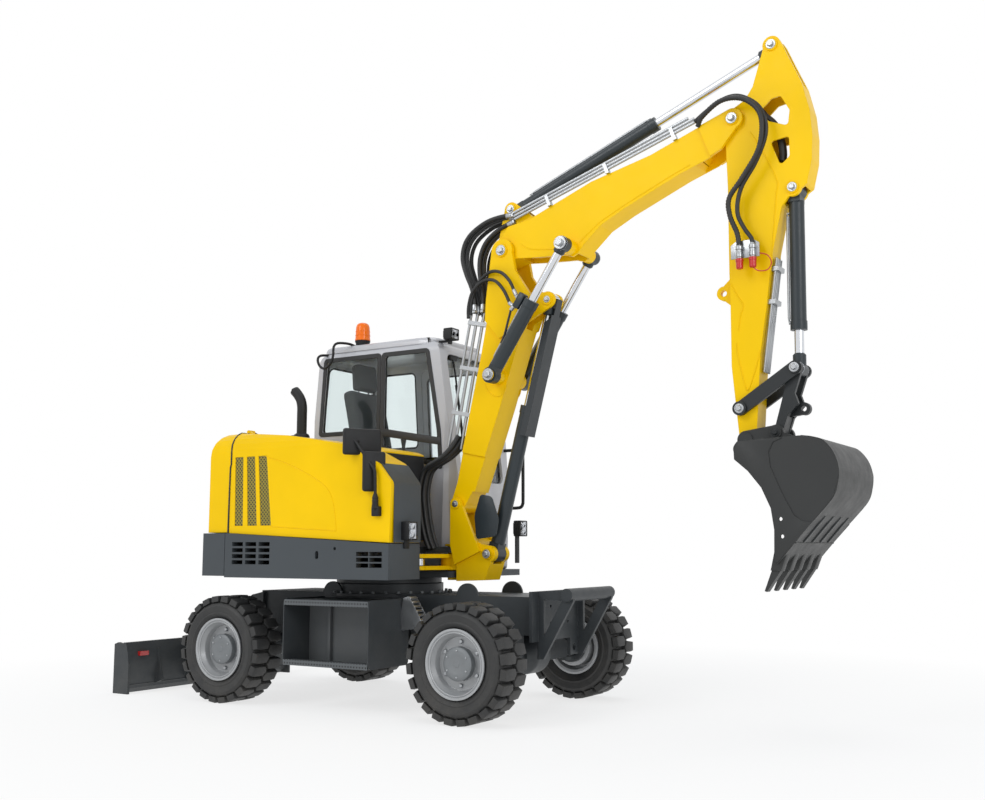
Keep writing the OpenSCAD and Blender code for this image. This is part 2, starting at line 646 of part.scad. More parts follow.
// Window openings of the fixed cab: right side front and rear, front, back and left rear.
module cab_windows() {
  xz(cab_right - 60, cab_right + 150) {
    polygon(rounded([[cab_back + 90, win_low + 130, 40], [cab_front - 760, win_low + 130, 30],
      [cab_front - 760, win_top, 30], [cab_back + 130, win_top, 50]]));
    polygon(rounded([[cab_front - 710, win_low - 10, 30], [cab_front - 130, win_low - 190, 50],
      [cab_front - 150, win_low + 100, 60], [cab_front - 270, win_top, 50], [cab_front - 710, win_top, 30]]));
  }
  translate([cab_front - 330, 0, 0]) rotate([90, 0, 90]) linear_extrude(big) polygon(rounded([
    [cab_right + 150, win_low - 300, 60], [cab_left - 130, win_low - 300, 60], [cab_left - 150, win_top - 20, 60],
    [cab_right + 120, win_top - 20, 60]]));
  translate([cab_back - 60, 0, 0]) rotate([90, 0, 90]) linear_extrude(200) polygon(rounded([
    [cab_right + 110, win_low + 120, 60], [cab_left - 130, win_low + 120, 60], [cab_left - 150, win_top - 40, 60],
    [cab_right + 120, win_top - 40, 60]]));
  xz(cab_left - 200, cab_left + 60) polygon(rounded([[cab_back + 110, win_low + 60, 40],
    [door_x0 - 70, win_low + 60, 40], [door_x0 - 70, win_top - 30, 40], [cab_back + 150, win_top - 30, 40]]));
}
door_hinge = [door_x0 - 3, cab_left + hinge_out];
hinge_zs = [cab_z + 160, cab_z + 780];
module cab_frame() color(silver) {
  difference() {
    cab_solid(0);
    cab_solid(cab_wall);
    cab_windows();
    door_cut(joint_gap);
  }
  for (z = hinge_zs) {
    translate([door_hinge[0], door_hinge[1], z]) cylinder(h = 66, r = hinge_r);
    flat(z, z + 28) {
      disk(door_hinge, 2 * hinge_r);
      polygon([door_hinge + [-60, -hinge_out - 1], door_hinge + [-8, -hinge_out - 1], door_hinge + [0, 14],
        door_hinge + [-30, 8]]);
    }
  }
}
module cab_glass() color(clear) intersection() {
  difference() { cab_solid(cab_wall - glass - 4); cab_solid(cab_wall - 4); }
  cab_windows();
}
module cab_door() color(silver) {
  difference() {
    intersection() {
      difference() { cab_solid(0); cab_solid(cab_wall); }
      door_cut(0);
    }
    door_win();
  }
  door_leaf();
}
module door_leaf() for (z = hinge_zs) flat(z + 30, z + 62) difference() {
  union() {
    disk(door_hinge, 2 * hinge_r);
    polygon([door_hinge + [60, -hinge_out - 1], door_hinge + [30, 8], door_hinge + [0, 14],
      door_hinge + [6, -hinge_out - 1]]);
  }
  disk(door_hinge, hinge_r + pin_play);
}
module door_glass() color(clear) intersection() {
  difference() { cab_solid(cab_wall - glass - 4); cab_solid(cab_wall - 4); }
  door_win();
}
// Suspended seat: base, cushion and slanted back in one outline, headrest on two stays.
seat_x = -420;
seat_y = 480;
seat_half = 240;
cab_floor = cab_z + cab_wall;
seat_z = cab_floor + 660;
back_top = seat_z + 830;
head_x = seat_x - 425;
module seat() color(dark) {
  block(seat_x - 190, seat_x + 190, seat_y - 170, seat_y + 170, cab_floor, seat_z + 1);
  xz(seat_y - seat_half, seat_y + seat_half) polygon(rounded([[seat_x - 320, seat_z, 30], [seat_x + 240, seat_z, 40],
    [seat_x + 240, seat_z + 130, 50], [seat_x - 215, seat_z + 110, 40], [seat_x - 370, back_top, 50],
    [seat_x - 500, back_top, 50]]));
  xz(seat_y - 130, seat_y + 130) polygon(rounded([[head_x - 60, back_top + 20, 40], [head_x + 60, back_top + 20, 40],
    [head_x + 45, back_top + 245, 40], [head_x - 65, back_top + 245, 40]]));
  for (s = [-1, 1]) translate([head_x, seat_y + s * 70, back_top - 40]) cylinder(h = 80, r = 10);
}
// Armrest consoles with their levers, steering column and wheel.
lever_x = seat_x + 240;
column = [[130, cab_floor], [70, cab_floor + 730]];
wheel_ring = 170;
module console() color(dark) {
  for (s = [-1, 1]) {
    block(seat_x - 200, seat_x + 300, seat_y + s * 320 - 55, seat_y + s * 320 + 55, cab_floor, cab_floor + 900);
    translate([lever_x, seat_y + s * 320, cab_floor + 899]) cylinder(h = 170, r = 18);
  }
  block(column[0][0] - 65, column[0][0] + 65, seat_y - 70, seat_y + 70, cab_floor, cab_floor + 12);
  run(column[0], column[1], seat_y, 5, 740, 35);
  translate([column[1][0] - 2, seat_y, column[1][1] + 16]) rotate([0, -20, 0]) {
    rotate_extrude() translate([wheel_ring, 0]) circle(15);
    cylinder(h = 30, r = 45, center = true);
    for (a = [0, 120, 240]) rotate([0, 90, a]) cylinder(h = wheel_ring, r = 10);
  }
}
beacon_at = [-650, 190];
module beacon() color(orange) difference() {
  translate([beacon_at[0], beacon_at[1], roof_z - 40]) {
    cylinder(h = 110, r = 58);
    translate([0, 0, 109]) cylinder(h = 170, r = 70);
  }
  cab_solid(0);
}
pipe_at = [-850, -342];
pipe_r = 42;
pipe_bend = [pipe_at[0], hood_top + 330];
pipe_end = pipe_bend + [-85, 75];
module exhaust() color(dark) difference() {
  union() {
    translate([pipe_at[0], pipe_at[1], hood_top - 60]) {
      cylinder(h = 390, r = pipe_r);
      cylinder(h = 90, r = pipe_r + 24);
    }
    translate([pipe_bend[0], pipe_at[1], pipe_bend[1]]) sphere(pipe_r + 3);
    run(pipe_bend, pipe_end, pipe_at[1], 0, norm(pipe_end - pipe_bend), pipe_r);
  }
  run(pipe_bend, pipe_end, pipe_at[1], 52, norm(pipe_end - pipe_bend) + 10, pipe_r - 6);
  side_hood(0);
}
mirror_y = -upper_half - 12;
module mirror_plate(x, y, z, w, h) translate([x, y, z]) rotate([0, 0, 54.7]) block(-w / 2, w / 2, -14, 14, -h / 2, h / 2);
module mirrors() color(black) difference() {
  union() {
    xz(mirror_y - 12, mirror_y + 12) {
      bar([392, 1440], [386, 1705], 12);
      bar([386, 1705], [190, 1960], 12);
    }
    block(360, 424, mirror_y - 12, -hood_half + 60, 1400, 1470);
    mirror_plate(218, mirror_y + 60, 1944, 290, 195);
    block(206, 226, mirror_y - 10, mirror_y + 70, 1935, 1955);
    mirror_plate(345, mirror_y + 40, 1722, 170, 290);
    block(340, 386, mirror_y - 10, mirror_y + 30, 1712, 1732);
  }
  side_hood(0);
}
lamp_z = 1298;
lamp_w = 110;
lamp_h = 132;
lamp_t = 54;
module front_lamp(x, y, z, foot_z) {
  block(x + 12, x + 12 + lamp_t, y - lamp_w / 2, y + lamp_w / 2, z - lamp_h / 2, z + lamp_h / 2);
  block(x, x + 13, y - 30, y + 30, foot_z, z + 40);
}
module work_lamps() color(dark) {
  front_lamp(nose_x, -735, lamp_z, skirt_front - 70);
  front_lamp(king_x + 50, 890, lamp_z + 40, deck_top - 40);
  difference() {
    union() {
      block(cab_front - 250, cab_front - 40, 160, 240, roof_z - 30, roof_z + 14);
      block(cab_front - 110, cab_front - 40, 150, 250, roof_z - 72, roof_z + 1);
    }
    cab_solid(0);
  }
}

// Grab rails: one before the cab's left front corner, one loop at the right rear of the roof.
rail_r = 14;
rail_y = cab_left - 60;
module grab_rails() color(black) difference() {
  union() {
    for (z = [cab_z + 470, cab_z + 960]) translate([cab_front - 60, rail_y, z]) rotate([0, 90, 0])
      cylinder(h = 210, r = rail_r);
    translate([cab_front + 150, rail_y, cab_z + 470 - rail_r]) cylinder(h = 490 + 2 * rail_r, r = rail_r);
    for (x = [cab_back + 90, cab_back + 250]) translate([x, cab_right - 60, roof_z - 150]) rotate([-90, 0, 0])
      cylinder(h = 120, r = rail_r - 3);
    translate([cab_back + 90 - rail_r + 3, cab_right - 60, roof_z - 150]) rotate([0, 90, 0])
      cylinder(h = 160 + 2 * rail_r - 6, r = rail_r - 3);
  }
  cab_solid(0);
}
nose_in = lift_r + 4;
nose_half = nose_in + 42;
king_back = king_x + 105;
swing_eye_r = 55;
post_ear = 50;
post_ear_t = 36;
module swing_arm() {
  root = [king_x, 0];
  disk(swing_eye, swing_eye_r);
  polygon([at(root, swing_eye, 0, 75), at(root, swing_eye, 1, swing_eye_r - 8),
    at(root, swing_eye, 1, 8 - swing_eye_r), at(root, swing_eye, 0, -75)]);
}
module king_post() color(yellow) {
  difference() {
    union() {
      translate([king_x, 0, deck_top + 10]) cylinder(h = 120, r = 92);
      block(king_x, king_back + 60, -90, 90, deck_top + 10, deck_top + 130);
      xz(-105, 105) polygon([[king_back, deck_z - 25], [king_back + 260, deck_z - 15], lift_base + [20, -60],
        lift_base + [-40, 60], [king_back + 110, foot[1] - 230], [king_back, foot[1] - 230]]);
      both(foot_half + joint_gap, foot_half + post_ear_t) {
        disk(foot, post_ear);
        polygon([foot + [-post_ear, 0], [foot[0] - post_ear, deck_top + 200], [king_back, deck_z + 100],
          lift_base + [-60, 20], foot + [post_ear, 0]]);
      }
      both(nose_in, nose_half) {
        disk(lift_base, 62);
        polygon([lift_base + [0, 62], lift_base + [0, -62], [king_back, deck_z + 20], [king_back, deck_z + 300]]);
      }
      for (z = [deck_top + 10, deck_top + 100]) flat(z, z + 30) swing_arm();
    }
    xz(-nose_in, nose_in) bar(lift_base, lift_base + [60, 200], 75);
    xz(-nose_in, nose_in) bar(lift_base, lift_base + [200, 40], 75);
    xz(-foot_half - joint_gap, foot_half + joint_gap) disk(foot, 90);
  }
  translate([king_x, 0, deck_z - 20]) cylinder(h = king_plate_z + 80 - deck_z, r = pin_r);
  translate([king_x, 0, king_plate_z + 50]) cylinder(h = 16, r = 60);
  rod_y(foot, pin_r, -foot_half - post_ear_t - post_head, foot_half + post_ear_t + post_head);
  both(foot_half + post_ear_t, foot_half + post_ear_t + post_head) disk(foot, head_r - 8);
  rod_y(lift_base, small_pin, -nose_half - 12, nose_half + 12);
  both(nose_half, nose_half + 12) disk(lift_base, 42);
}
swing_half = 27;
swing_len = 590;
swing_rod_len = 520;
module swing_line(s0, s1, r, p, q) translate([p[0], p[1], swing_z])
  rotate([0, 90, atan2(q[1] - p[1], q[0] - p[0])]) translate([0, 0, s0]) cylinder(h = s1 - s0, r = r);
module swing_barrel() color(dark) difference() {
  union() {
    translate([swing_base[0], swing_base[1], swing_z - swing_half]) cylinder(h = 2 * swing_half, r = 50);
    swing_line(20, swing_len, swing_r, swing_base, swing_eye);
  }
  translate([swing_base[0], swing_base[1], 0]) cylinder(h = big, r = small_pin + pin_play);
  swing_line(70, swing_len + eps, 25 + rod_gap, swing_base, swing_eye);
}
module swing_rod() color(silver) {
  translate([swing_eye[0], swing_eye[1], swing_z - swing_half + 2]) cylinder(h = 2 * swing_half - 4, r = 46);
  swing_line(20, swing_rod_len, 25, swing_eye, swing_base);
}

lower_half = boom_half + 9;
module boom_lower() color(yellow) {
  difference() {
    union() {
      xz(-foot_half, foot_half) disk(foot, 66);
      xz(-foot_half, foot_half) polygon([at(foot, knee, 0, 64), at(foot, knee, 0, -64), at(foot, knee, 0.09, -135),
        at(foot, knee, 0.09, 40)]);
      xz(-foot_half, foot_half) polygon([at(foot, knee, 0.06, 42), at(foot, knee, 0.06, -128),
        at(foot, knee, 0.22, -172), at(foot, knee, 0.22, 42)]);
      xz(-lower_half, lower_half) polygon([at(foot, knee, 0.2, 42), at(foot, knee, 0.2, -167),
        at(foot, knee, 0.4, -222), at(foot, knee, 0.75, -297), at(foot, knee, 0.81, -330), at(foot, knee, 0.83, -60),
        at(foot, knee, 0.83, 40), at(foot, knee, 0.6, 32)]);
      both(ear_in, ear_out) {
        disk(knee, 92);
        polygon([at(foot, knee, 1, 92), at(foot, knee, 0.8, 60), at(foot, knee, 0.72, 34), at(foot, knee, 0.66, -120),
          at(foot, knee, 0.72, -288), at(foot, knee, 0.84, -330), at(foot, knee, 0.93, -150), at(foot, knee, 1, -92)]);
      }
      both(lug_in, lug_out - 12) {
        disk(lift_eye, 62);
        polygon([at(foot, knee, 0.72, -250), lift_eye + [30, -56], lift_eye + [-20, 60], at(foot, knee, 0.825, -200)]);
      }
      both(lug_out - 13, lug_out - 3) disk(lift_eye, 42);
      both(lower_half - eps, adjust_y - adjust_half - joint_gap) disk(adjust_base, 60);
    }
    xz(-lug_in, lug_in) polygon([at(foot, knee, 0.715, -500), at(foot, knee, 0.715, -225),
      at(foot, knee, 0.95, -225), at(foot, knee, 0.95, -500)]);
    rod_y(foot, pin_r + pin_play, -big, big);
    xz(-lower_half + 16, lower_half - 16) polygon([at(foot, knee, 0.12, 20), at(foot, knee, 0.12, -115),
      at(foot, knee, 0.4, -198), at(foot, knee, 0.7, -265), at(foot, knee, 0.7, -200), at(foot, knee, 0.84, -190),
      at(foot, knee, 0.84, 20)]);
  }
  rod_y(knee, pin_r, -ear_out - 14, ear_out + 14);
  both(ear_out, ear_out + 14) disk(knee, head_r + 4);
  for (s = [-1, 1]) rod_y(adjust_base, small_pin, s > 0 ? lower_half - 10 : -adjust_y - adjust_half - 14,
    s > 0 ? adjust_y + adjust_half + 14 : -lower_half + 10);
  both(adjust_y + adjust_half + joint_gap, adjust_y + adjust_half + 18) disk(adjust_base, 44);
}
module lift_barrel() color(dark)
  barrel(lift_base, lift_eye, 0, 1150, lift_r, 34, nose_in - joint_gap, small_pin, 80);
module lift_rod() color(silver)
  piston(lift_base, lift_eye, 0, 1180, 34, lug_in - eye_gap, rod_eye_r);

// The sheet channel that shields the lift rod, held at the rod's eye.
guard_gap = 8;
guard_t = 6;
guard_len = 1040;
guard_side = lift_r + guard_gap;
guard_out = guard_side + guard_t;
// Point s below the rod's eye along the lift cylinder, d in front of its axis.
function guard_at(s, d) = at(lift_eye, lift_base, s / norm(lift_eye - lift_base), d);
module rod_guard() color(dark) difference() {
  union() {
    xz(-40, 40) polygon([guard_at(110, guard_side), guard_at(110, guard_out), guard_at(-20, guard_out),
      guard_at(-20, 0), guard_at(30, 0), guard_at(60, guard_side)]);
    xz(-guard_out, guard_out) polygon([guard_at(109, guard_side), guard_at(109, guard_out),
      guard_at(guard_len, guard_out), guard_at(guard_len, guard_side)]);
    both(guard_side, guard_out) polygon([guard_at(130, guard_out), guard_at(guard_len, guard_out),
      guard_at(guard_len, 20), guard_at(170, 20)]);
  }
  rod_y(lift_eye, rod_eye_r, -big, big);
}
rod_eye_r = 56;
module boom_upper() color(yellow) {
  difference() {
    union() {
      xz(-boom_half, boom_half) {
        disk(knee, 96);
        polygon([at(knee, nose, 0, -96), at(knee, nose, 0.038, -99), at(knee, nose, 0.134, -189),
          at(knee, nose, 0.234, -275), at(knee, nose, 0.262, -318), at(knee, nose, 0.285, -312),
          at(knee, nose, 0.318, -277), at(knee, nose, 0.405, -208), at(knee, nose, 0.51, -184),
          at(knee, nose, 0.755, -164), at(knee, nose, 0.87, -170), at(knee, nose, 0.93, -150),
          at(knee, nose, 0.93, 78), at(knee, nose, 0.68, 82),
          at(knee, nose, 0.434, 140), at(knee, nose, 0.15, 132), at(knee, nose, 0.05, 170), at(knee, nose, -0.02, 90)]);
      }
      both(fork_in, fork_out) {
        disk(nose, 74);
        polygon([at(knee, nose, 1, 74), at(knee, nose, 0.88, 78), at(knee, nose, 0.88, -165), at(knee, nose, 0.925, -158),
          at(knee, nose, 1, -74)]);
      }
      both(lug_in, lug_out) {
        disk(stick_base, 58);
        polygon([stick_base + [-58, 0], at(knee, nose, -0.03, 60), at(knee, nose, 0.17, 110), stick_base + [40, 42]]);
      }
      both(boom_half - eps, adjust_y - adjust_half - eye_gap) disk(adjust_eye, 56);
    }
    rod_y(knee, pin_r + pin_play, -big, big);
    xz(-fork_in, fork_in) polygon([nose + [-110, 150], nose + [-110, -40], nose + [-305, -320], nose + [200, -320],
      nose + [200, 150]]);
    xz(-boom_half + 20, boom_half - 20) polygon([at(knee, nose, 0.06, -250), at(knee, nose, 0.06, 0),
      at(knee, nose, 0.12, 60), at(knee, nose, 0.42, 110), at(knee, nose, 0.66, 58), at(knee, nose, 0.85, 50),
      at(knee, nose, 0.84, -140), at(knee, nose, 0.52, -160), at(knee, nose, 0.4, -184), at(knee, nose, 0.31, -250),
      at(knee, nose, 0.29, -290), at(knee, nose, 0.255, -400)]);
    xz(-lug_in, lug_in) disk(stick_base, 85);
  }
  rod_y(stick_base, small_pin, -lug_out - 12, lug_out + 12);
  both(lug_out, lug_out + 12) disk(stick_base, 42);
  rod_y(nose, pin_r, -fork_out - 12, fork_out + 12);
  both(fork_out, fork_out + 12) disk(nose, head_r);
}
module adjust_barrels() color(dark) for (s = [-1, 1])
  barrel(adjust_base, adjust_eye, s * adjust_y, 640, adjust_r, 32, adjust_half, small_pin, 80);
module adjust_rods() color(silver) for (s = [-1, 1]) {
  piston(adjust_base, adjust_eye, s * adjust_y, 620, 32, adjust_half, 54);
  rod_y(adjust_eye, 44, s > 0 ? adjust_y + adjust_half - eps : -adjust_y - adjust_half - 14,
    s > 0 ? adjust_y + adjust_half + 14 : -adjust_y - adjust_half + eps);
}

// Steel oil lines, each set held by clamps that sit on the boom.
line_r = 11;
line_gap = 30;
module clamp(p, q, y0, y1) xz(y0, y1) polygon([p[0], p[1], q[1], q[0]]);
function lower_back(t) = at(foot, knee, t, t < 0.6 ? 47 - 25 * t : 32 + 8 * (t - 0.6) / 0.23);
module lower_boom_lines() color(silver) {
  for (i = [0:4]) run(at(foot, knee, 0.21, 78 + line_gap * i), at(foot, knee, 0.757, 92 + line_gap * i),
    i % 2 > 0 ? -42 : -80, 0, 0.547 * lower_len, line_r);
  for (t = [0.34, 0.52, 0.7]) clamp([lower_back(t), lower_back(t + 0.016)],
    [at(foot, knee, t, 218), at(foot, knee, t + 0.016, 218)], -98, -24);
}
function upper_top(t) = at(knee, nose, t, t < 0.434 ? 132 + 8 * (t - 0.15) / 0.284
  : t < 0.68 ? 140 - 58 * (t - 0.434) / 0.246 : 82 - 4 * (t - 0.68) / 0.25);
module upper_boom_lines() color(silver) {
  for (i = [0:2]) run(at(knee, nose, 0.09, 192 + 26 * i), at(knee, nose, 0.9, 122 + 26 * i), -112, 0,
    (0.81 - 0.02 * i) * upper_len, line_r);
  for (t = [0.24, 0.5, 0.78]) clamp([upper_top(t), upper_top(t + 0.014)],
    [at(knee, nose, t, 246 - 86 * t), at(knee, nose, t + 0.014, 246 - 86 * t)], -128, -84);
}
function on_stick(x, z) = nose + [x, z] * stick_len / 2240;
module stick_lines() color(silver) {
  for (i = [0:3]) run(on_stick(262, -1010), on_stick(150, -1790), -48 + 32 * i, 0, 780, line_r - 2);
  for (s = [0.12, 0.85]) clamp([on_stick(235, -1031) * (1 - s) + on_stick(194, -1339) * s,
    on_stick(235, -1031) * (0.9 - s) + on_stick(194, -1339) * (s + 0.1)],
    [on_stick(285, -1031) * (1 - s) + on_stick(244, -1339) * s,
    on_stick(285, -1031) * (0.9 - s) + on_stick(244, -1339) * (s + 0.1)], -64, 64);
}
stick_outline = [on_stick(-72, 0), on_stick(-60, -200), on_stick(-54, -484), on_stick(-60, -1073), on_stick(-58, -1310),
  on_stick(-62, -1730), tip + [-60, 10], tip + [60, 60], on_stick(143, -1646), on_stick(194, -1339),
  on_stick(235, -1031), on_stick(318, -672), bucket_base + [-30, -60], bucket_base + [50, -20], on_stick(494, -540),
  on_stick(534, -373), on_stick(543, -203), on_stick(530, -34), on_stick(483, 166), on_stick(411, 337),
  stick_eye + [60, 20], stick_eye + [-60, -20], on_stick(177, 314), on_stick(143, 209), on_stick(84, 126),
  on_stick(-20, 72)];
stick_lift = on_stick(-128, -1204);
stick_wall = 14;
cyl_in = bucket_r + 4;
tip_r = 32;
rocker_r = 28;
module stick() color(yellow) {
  difference() {
    union() {
      difference() {
        xz(-stick_half, stick_half) {
          polygon(stick_outline);
          disk(nose, 74);
          disk(tip, 62);
          disk(stick_eye, 62);
          disk(bucket_base, 60);
        }
        xz(-stick_half + stick_wall, stick_half - stick_wall) polygon(inset(stick_outline, stick_wall + 4));
      }
      xz(-stick_half, stick_half) {
        disk(nose, 74);
        disk(tip, 62);
        disk(rocker_pin, 48);
        polygon([tip + [-50, 0], tip + [50, 0], tip + [62, 120], tip + [-50, 120]]);
      }
      both(lug_in - 4, stick_half) disk(stick_eye, 62);
      both(cyl_in, stick_half) disk(bucket_base, 60);
      xz(-20, 20) {
        disk(stick_lift, 50);
        polygon([on_stick(-50, -1080), stick_lift + [0, 50], stick_lift - [0, 50], on_stick(-50, -1320)]);
      }
    }
    rod_y(nose, pin_r + pin_play, -big, big);
    rod_y(tip, tip_r + pin_play, -big, big);
    rod_y(stick_lift, 22, -big, big);
    xz(-lug_in + 4, lug_in - 4) polygon([on_stick(-100, 260), on_stick(150, 330), on_stick(330, 60), on_stick(420, 120),
      on_stick(700, 300), on_stick(500, 700), on_stick(-100, 700)]);
    xz(-cyl_in, cyl_in) {
      disk(bucket_base, 80);
      bar(bucket_base, bucket_base + [0, -300], 66);
    }
    for (w = [0, 1]) xz(-big, big) polygon(rounded(w == 0
      ? [for (p = [[185, 20], [270, 95], [335, 105], [395, -10], [380, -115], [250, -60]]) concat(on_stick(p[0], p[1]), 20)]
      : [for (p = [[255, -205], [385, -190], [385, -330], [320, -385]]) concat(on_stick(p[0], p[1]), 20)]));
  }
  rod_y(bucket_base, small_pin, -stick_half - 12, stick_half + 12);
  both(stick_half, stick_half + 12) disk(bucket_base, 42);
  both(stick_half, stick_half + 12) disk(stick_eye, 44);
  rod_y(rocker_pin, rocker_r, -fork_out - 12, fork_out + 12);
  both(fork_out + joint_gap, fork_out + 17) disk(rocker_pin, 42);
}
module stick_barrel() color(dark)
  barrel(stick_base, stick_eye, 0, 1290, stick_r, 32, lug_in - joint_gap, small_pin, 90);
module stick_rod() color(silver)
  piston(stick_base, stick_eye, 0, 1340, 32, lug_in - 4 - eye_gap, 52);

link_in = 52;
eye_out = 104;
link_foot = 30;
link_eye = at(link_pin, bucket_pin, 0.55, eye_out);
module rocker() color(dark) {
  difference() {
    both(fork_in, fork_out) bar(rocker_pin, link_pin, 46);
    rod_y(rocker_pin, 28 + pin_play, -big, big);
  }
  both(link_in, fork_out + 12) disk(link_pin, 26);
  both(fork_out, fork_out + 12) disk(link_pin, 40);
}
module link() color(dark) difference() {
  union() {
    both(link_in, stick_half) {
      disk(link_pin, 42);
      disk(bucket_pin, link_foot);
      polygon([at(link_pin, bucket_pin, 0, 40), at(link_pin, bucket_pin, 0, -40),
        at(link_pin, bucket_pin, 1, 2 - link_foot), at(link_pin, bucket_pin, 1, link_foot - 2)]);
      polygon([at(link_pin, bucket_pin, 0.3, 15), at(link_pin, bucket_pin, 0.5, 80), at(link_pin, bucket_pin, 0.8, 15)]);
    }
    xz(-stick_half, stick_half) bar(at(link_pin, bucket_pin, 0.5, 0), bucket_pin, link_foot - 4);
    xz(-22, 22) difference() {
      union() {
        disk(link_eye, 42);
        polygon([at(link_pin, bucket_pin, 0.5, 0), at(link_pin, bucket_pin, 0.75, 0), at(link_pin, bucket_pin, 0.64, eye_out),
          at(link_pin, bucket_pin, 0.46, eye_out)]);
      }
      disk(link_eye, 18);
    }
  }
  rod_y(link_pin, 26 + pin_play, -big, big);
}

// Bucket outline from the lip up the mouth, over the back and down to the lip.
bucket_half = bucket_w / 2;
function on_bucket(x, z) = tip + [x, z];
bucket_shape = rounded([for (p = [[283, -809, 0], [640, -403, 120], [690, -230, 110], [600, -46, 120], [455, -17, 60],
  [45, -29, 45], [10, -78, 45]]) [tip[0] + p[0], tip[1] + p[1], p[2]]]);
bucket_side = concat(bucket_shape, [on_bucket(20, -150), on_bucket(108, -227), on_bucket(192, -334),
  on_bucket(250, -465), on_bucket(268, -600), on_bucket(262, -799)]);
bucket_hollow = inset(bucket_shape, bucket_t);
lip_clear = 112;
cutter_holes = [on_bucket(313, -533), on_bucket(320, -641)];
module bucket() color(grey) {
  difference() {
    union() {
      difference() {
        xz(-bucket_half + 2, bucket_half - 2) difference() {
          polygon(bucket_side);
          bucket_inside();
        }
        xz(-bucket_half + bucket_t, bucket_half - bucket_t) translate(tip) circle(lip_clear, $fn = 240);
      }
      both(bucket_half - bucket_t, bucket_half) polygon(bucket_side);
      both(fork_in + 2, fork_in + 40) {
        disk(tip, 62);
        disk(bucket_pin, 52);
        polygon([tip + [-60, 0], on_bucket(40, -48), on_bucket(420, -30), bucket_pin + [50, 0], bucket_pin + [0, 50],
          tip + [0, 62]]);
      }
      for (i = [0:teeth - 1]) tooth(-bucket_half + 70 + i * (2 * bucket_half - 140) / (teeth - 1));
    }
    rod_y(tip, 31, -fork_in - 1, fork_in + 1);
    for (p = cutter_holes) rod_y(p, 15, -big, big);
  }
  rod_y(tip, 32, -fork_in - 52, fork_in + 52);
  both(fork_in + 40, fork_in + 52) disk(tip, 46);
  both(fork_in + 40, fork_in + 52) disk(bucket_pin, 40);
}
module bucket_inside() polygon(concat([for (i = [0:len(bucket_shape) - 1]) bucket_hollow[i]],
  [on_bucket(-100, -110), on_bucket(150, -900)]));
module tooth(y) xz(y - tooth_w / 2, y + tooth_w / 2) polygon([on_bucket(330, -760), on_bucket(265, -735),
  on_bucket(240, -830), on_bucket(182, -980), on_bucket(196, -985), on_bucket(290, -850)]);
module bucket_barrel() color(dark)
  barrel(bucket_base, link_pin, 0, 960, bucket_r, 32, cyl_in - joint_gap, small_pin, 80);
module bucket_rod() color(silver)
  piston(bucket_base, link_pin, 0, 900, 32, link_in - eye_gap, 46);

module draw() {
  chassis_frame();
  front_frame();
  side_steps();
  rear_axle();
  front_axle();
  slew_ring();
  dozer_blade();
  blade_lamps();
  blade_barrels();
  blade_rods();
  knuckle_left();
  knuckle_right();
  tyre_front_left();
  tyre_front_right();
  tyre_rear_left();
  tyre_rear_right();
  rim_front_left();
  rim_front_right();
  rim_rear_left();
  rim_rear_right();
  upper_frame();
  counterweight();
  side_skirts();
  hood_right();
  rear_hood();
  bulkhead();
  engine_block();
  cab_frame();
  cab_glass();
  cab_door();
  door_glass();
  seat();
  console();
  beacon();
  exhaust();
  mirrors();
  work_lamps();
  grab_rails();
  king_post();
  swing_barrel();
  swing_rod();
  boom_lower();
  lower_boom_lines();
  lift_barrel();
  lift_rod();
  rod_guard();
  boom_upper();
  upper_boom_lines();
  adjust_barrels();
  adjust_rods();
  stick();
  stick_lines();
  stick_barrel();
  stick_rod();
  rocker();
  link();
  bucket();
  bucket_barrel();
  bucket_rod();
}
translate([-frame_x, 0, 0]) draw();
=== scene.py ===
"""Looks of a compact wheeled excavator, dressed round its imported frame: finishes, hoses, lamps and trim."""

import math

import bmesh
import bpy
from mathutils import Matrix, Vector


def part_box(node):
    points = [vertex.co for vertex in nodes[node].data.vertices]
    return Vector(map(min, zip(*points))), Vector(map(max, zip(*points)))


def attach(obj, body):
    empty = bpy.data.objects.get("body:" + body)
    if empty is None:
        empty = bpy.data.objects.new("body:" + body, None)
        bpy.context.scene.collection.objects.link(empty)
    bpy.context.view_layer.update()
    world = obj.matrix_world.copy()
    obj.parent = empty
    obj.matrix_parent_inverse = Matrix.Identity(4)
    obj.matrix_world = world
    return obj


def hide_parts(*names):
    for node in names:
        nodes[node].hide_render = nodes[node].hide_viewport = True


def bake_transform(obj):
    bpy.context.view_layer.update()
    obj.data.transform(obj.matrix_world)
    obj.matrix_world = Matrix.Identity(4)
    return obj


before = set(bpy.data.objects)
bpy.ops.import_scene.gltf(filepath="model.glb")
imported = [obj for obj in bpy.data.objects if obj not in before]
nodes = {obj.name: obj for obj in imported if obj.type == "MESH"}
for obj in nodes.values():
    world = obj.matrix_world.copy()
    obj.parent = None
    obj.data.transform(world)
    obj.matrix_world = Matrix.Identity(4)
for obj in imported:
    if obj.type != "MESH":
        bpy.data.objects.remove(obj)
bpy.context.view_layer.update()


def axle_middle():
    """The point of the ground midway between the axles, from the four tyres."""
    tyres = [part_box(name) for name in nodes if name.startswith("tyre")]
    return sum((low[0] + high[0]) / 2 for low, high in tyres) / len(tyres)


MIDDLE = axle_middle()


def spot(x, y, z):
    """A place given in millimetres from the ground midway between the axles."""
    return Vector((MIDDLE + x / 1000, y / 1000, z / 1000))


# Shader nodes

def tone(red, green, blue):
    """A colour written as on screen, in Blender's linear values."""
    def linear(level):
        level /= 255
        return level / 12.92 if level <= 0.04045 else ((level + 0.055) / 1.055) ** 2.4
    return (linear(red), linear(green), linear(blue), 1.0)


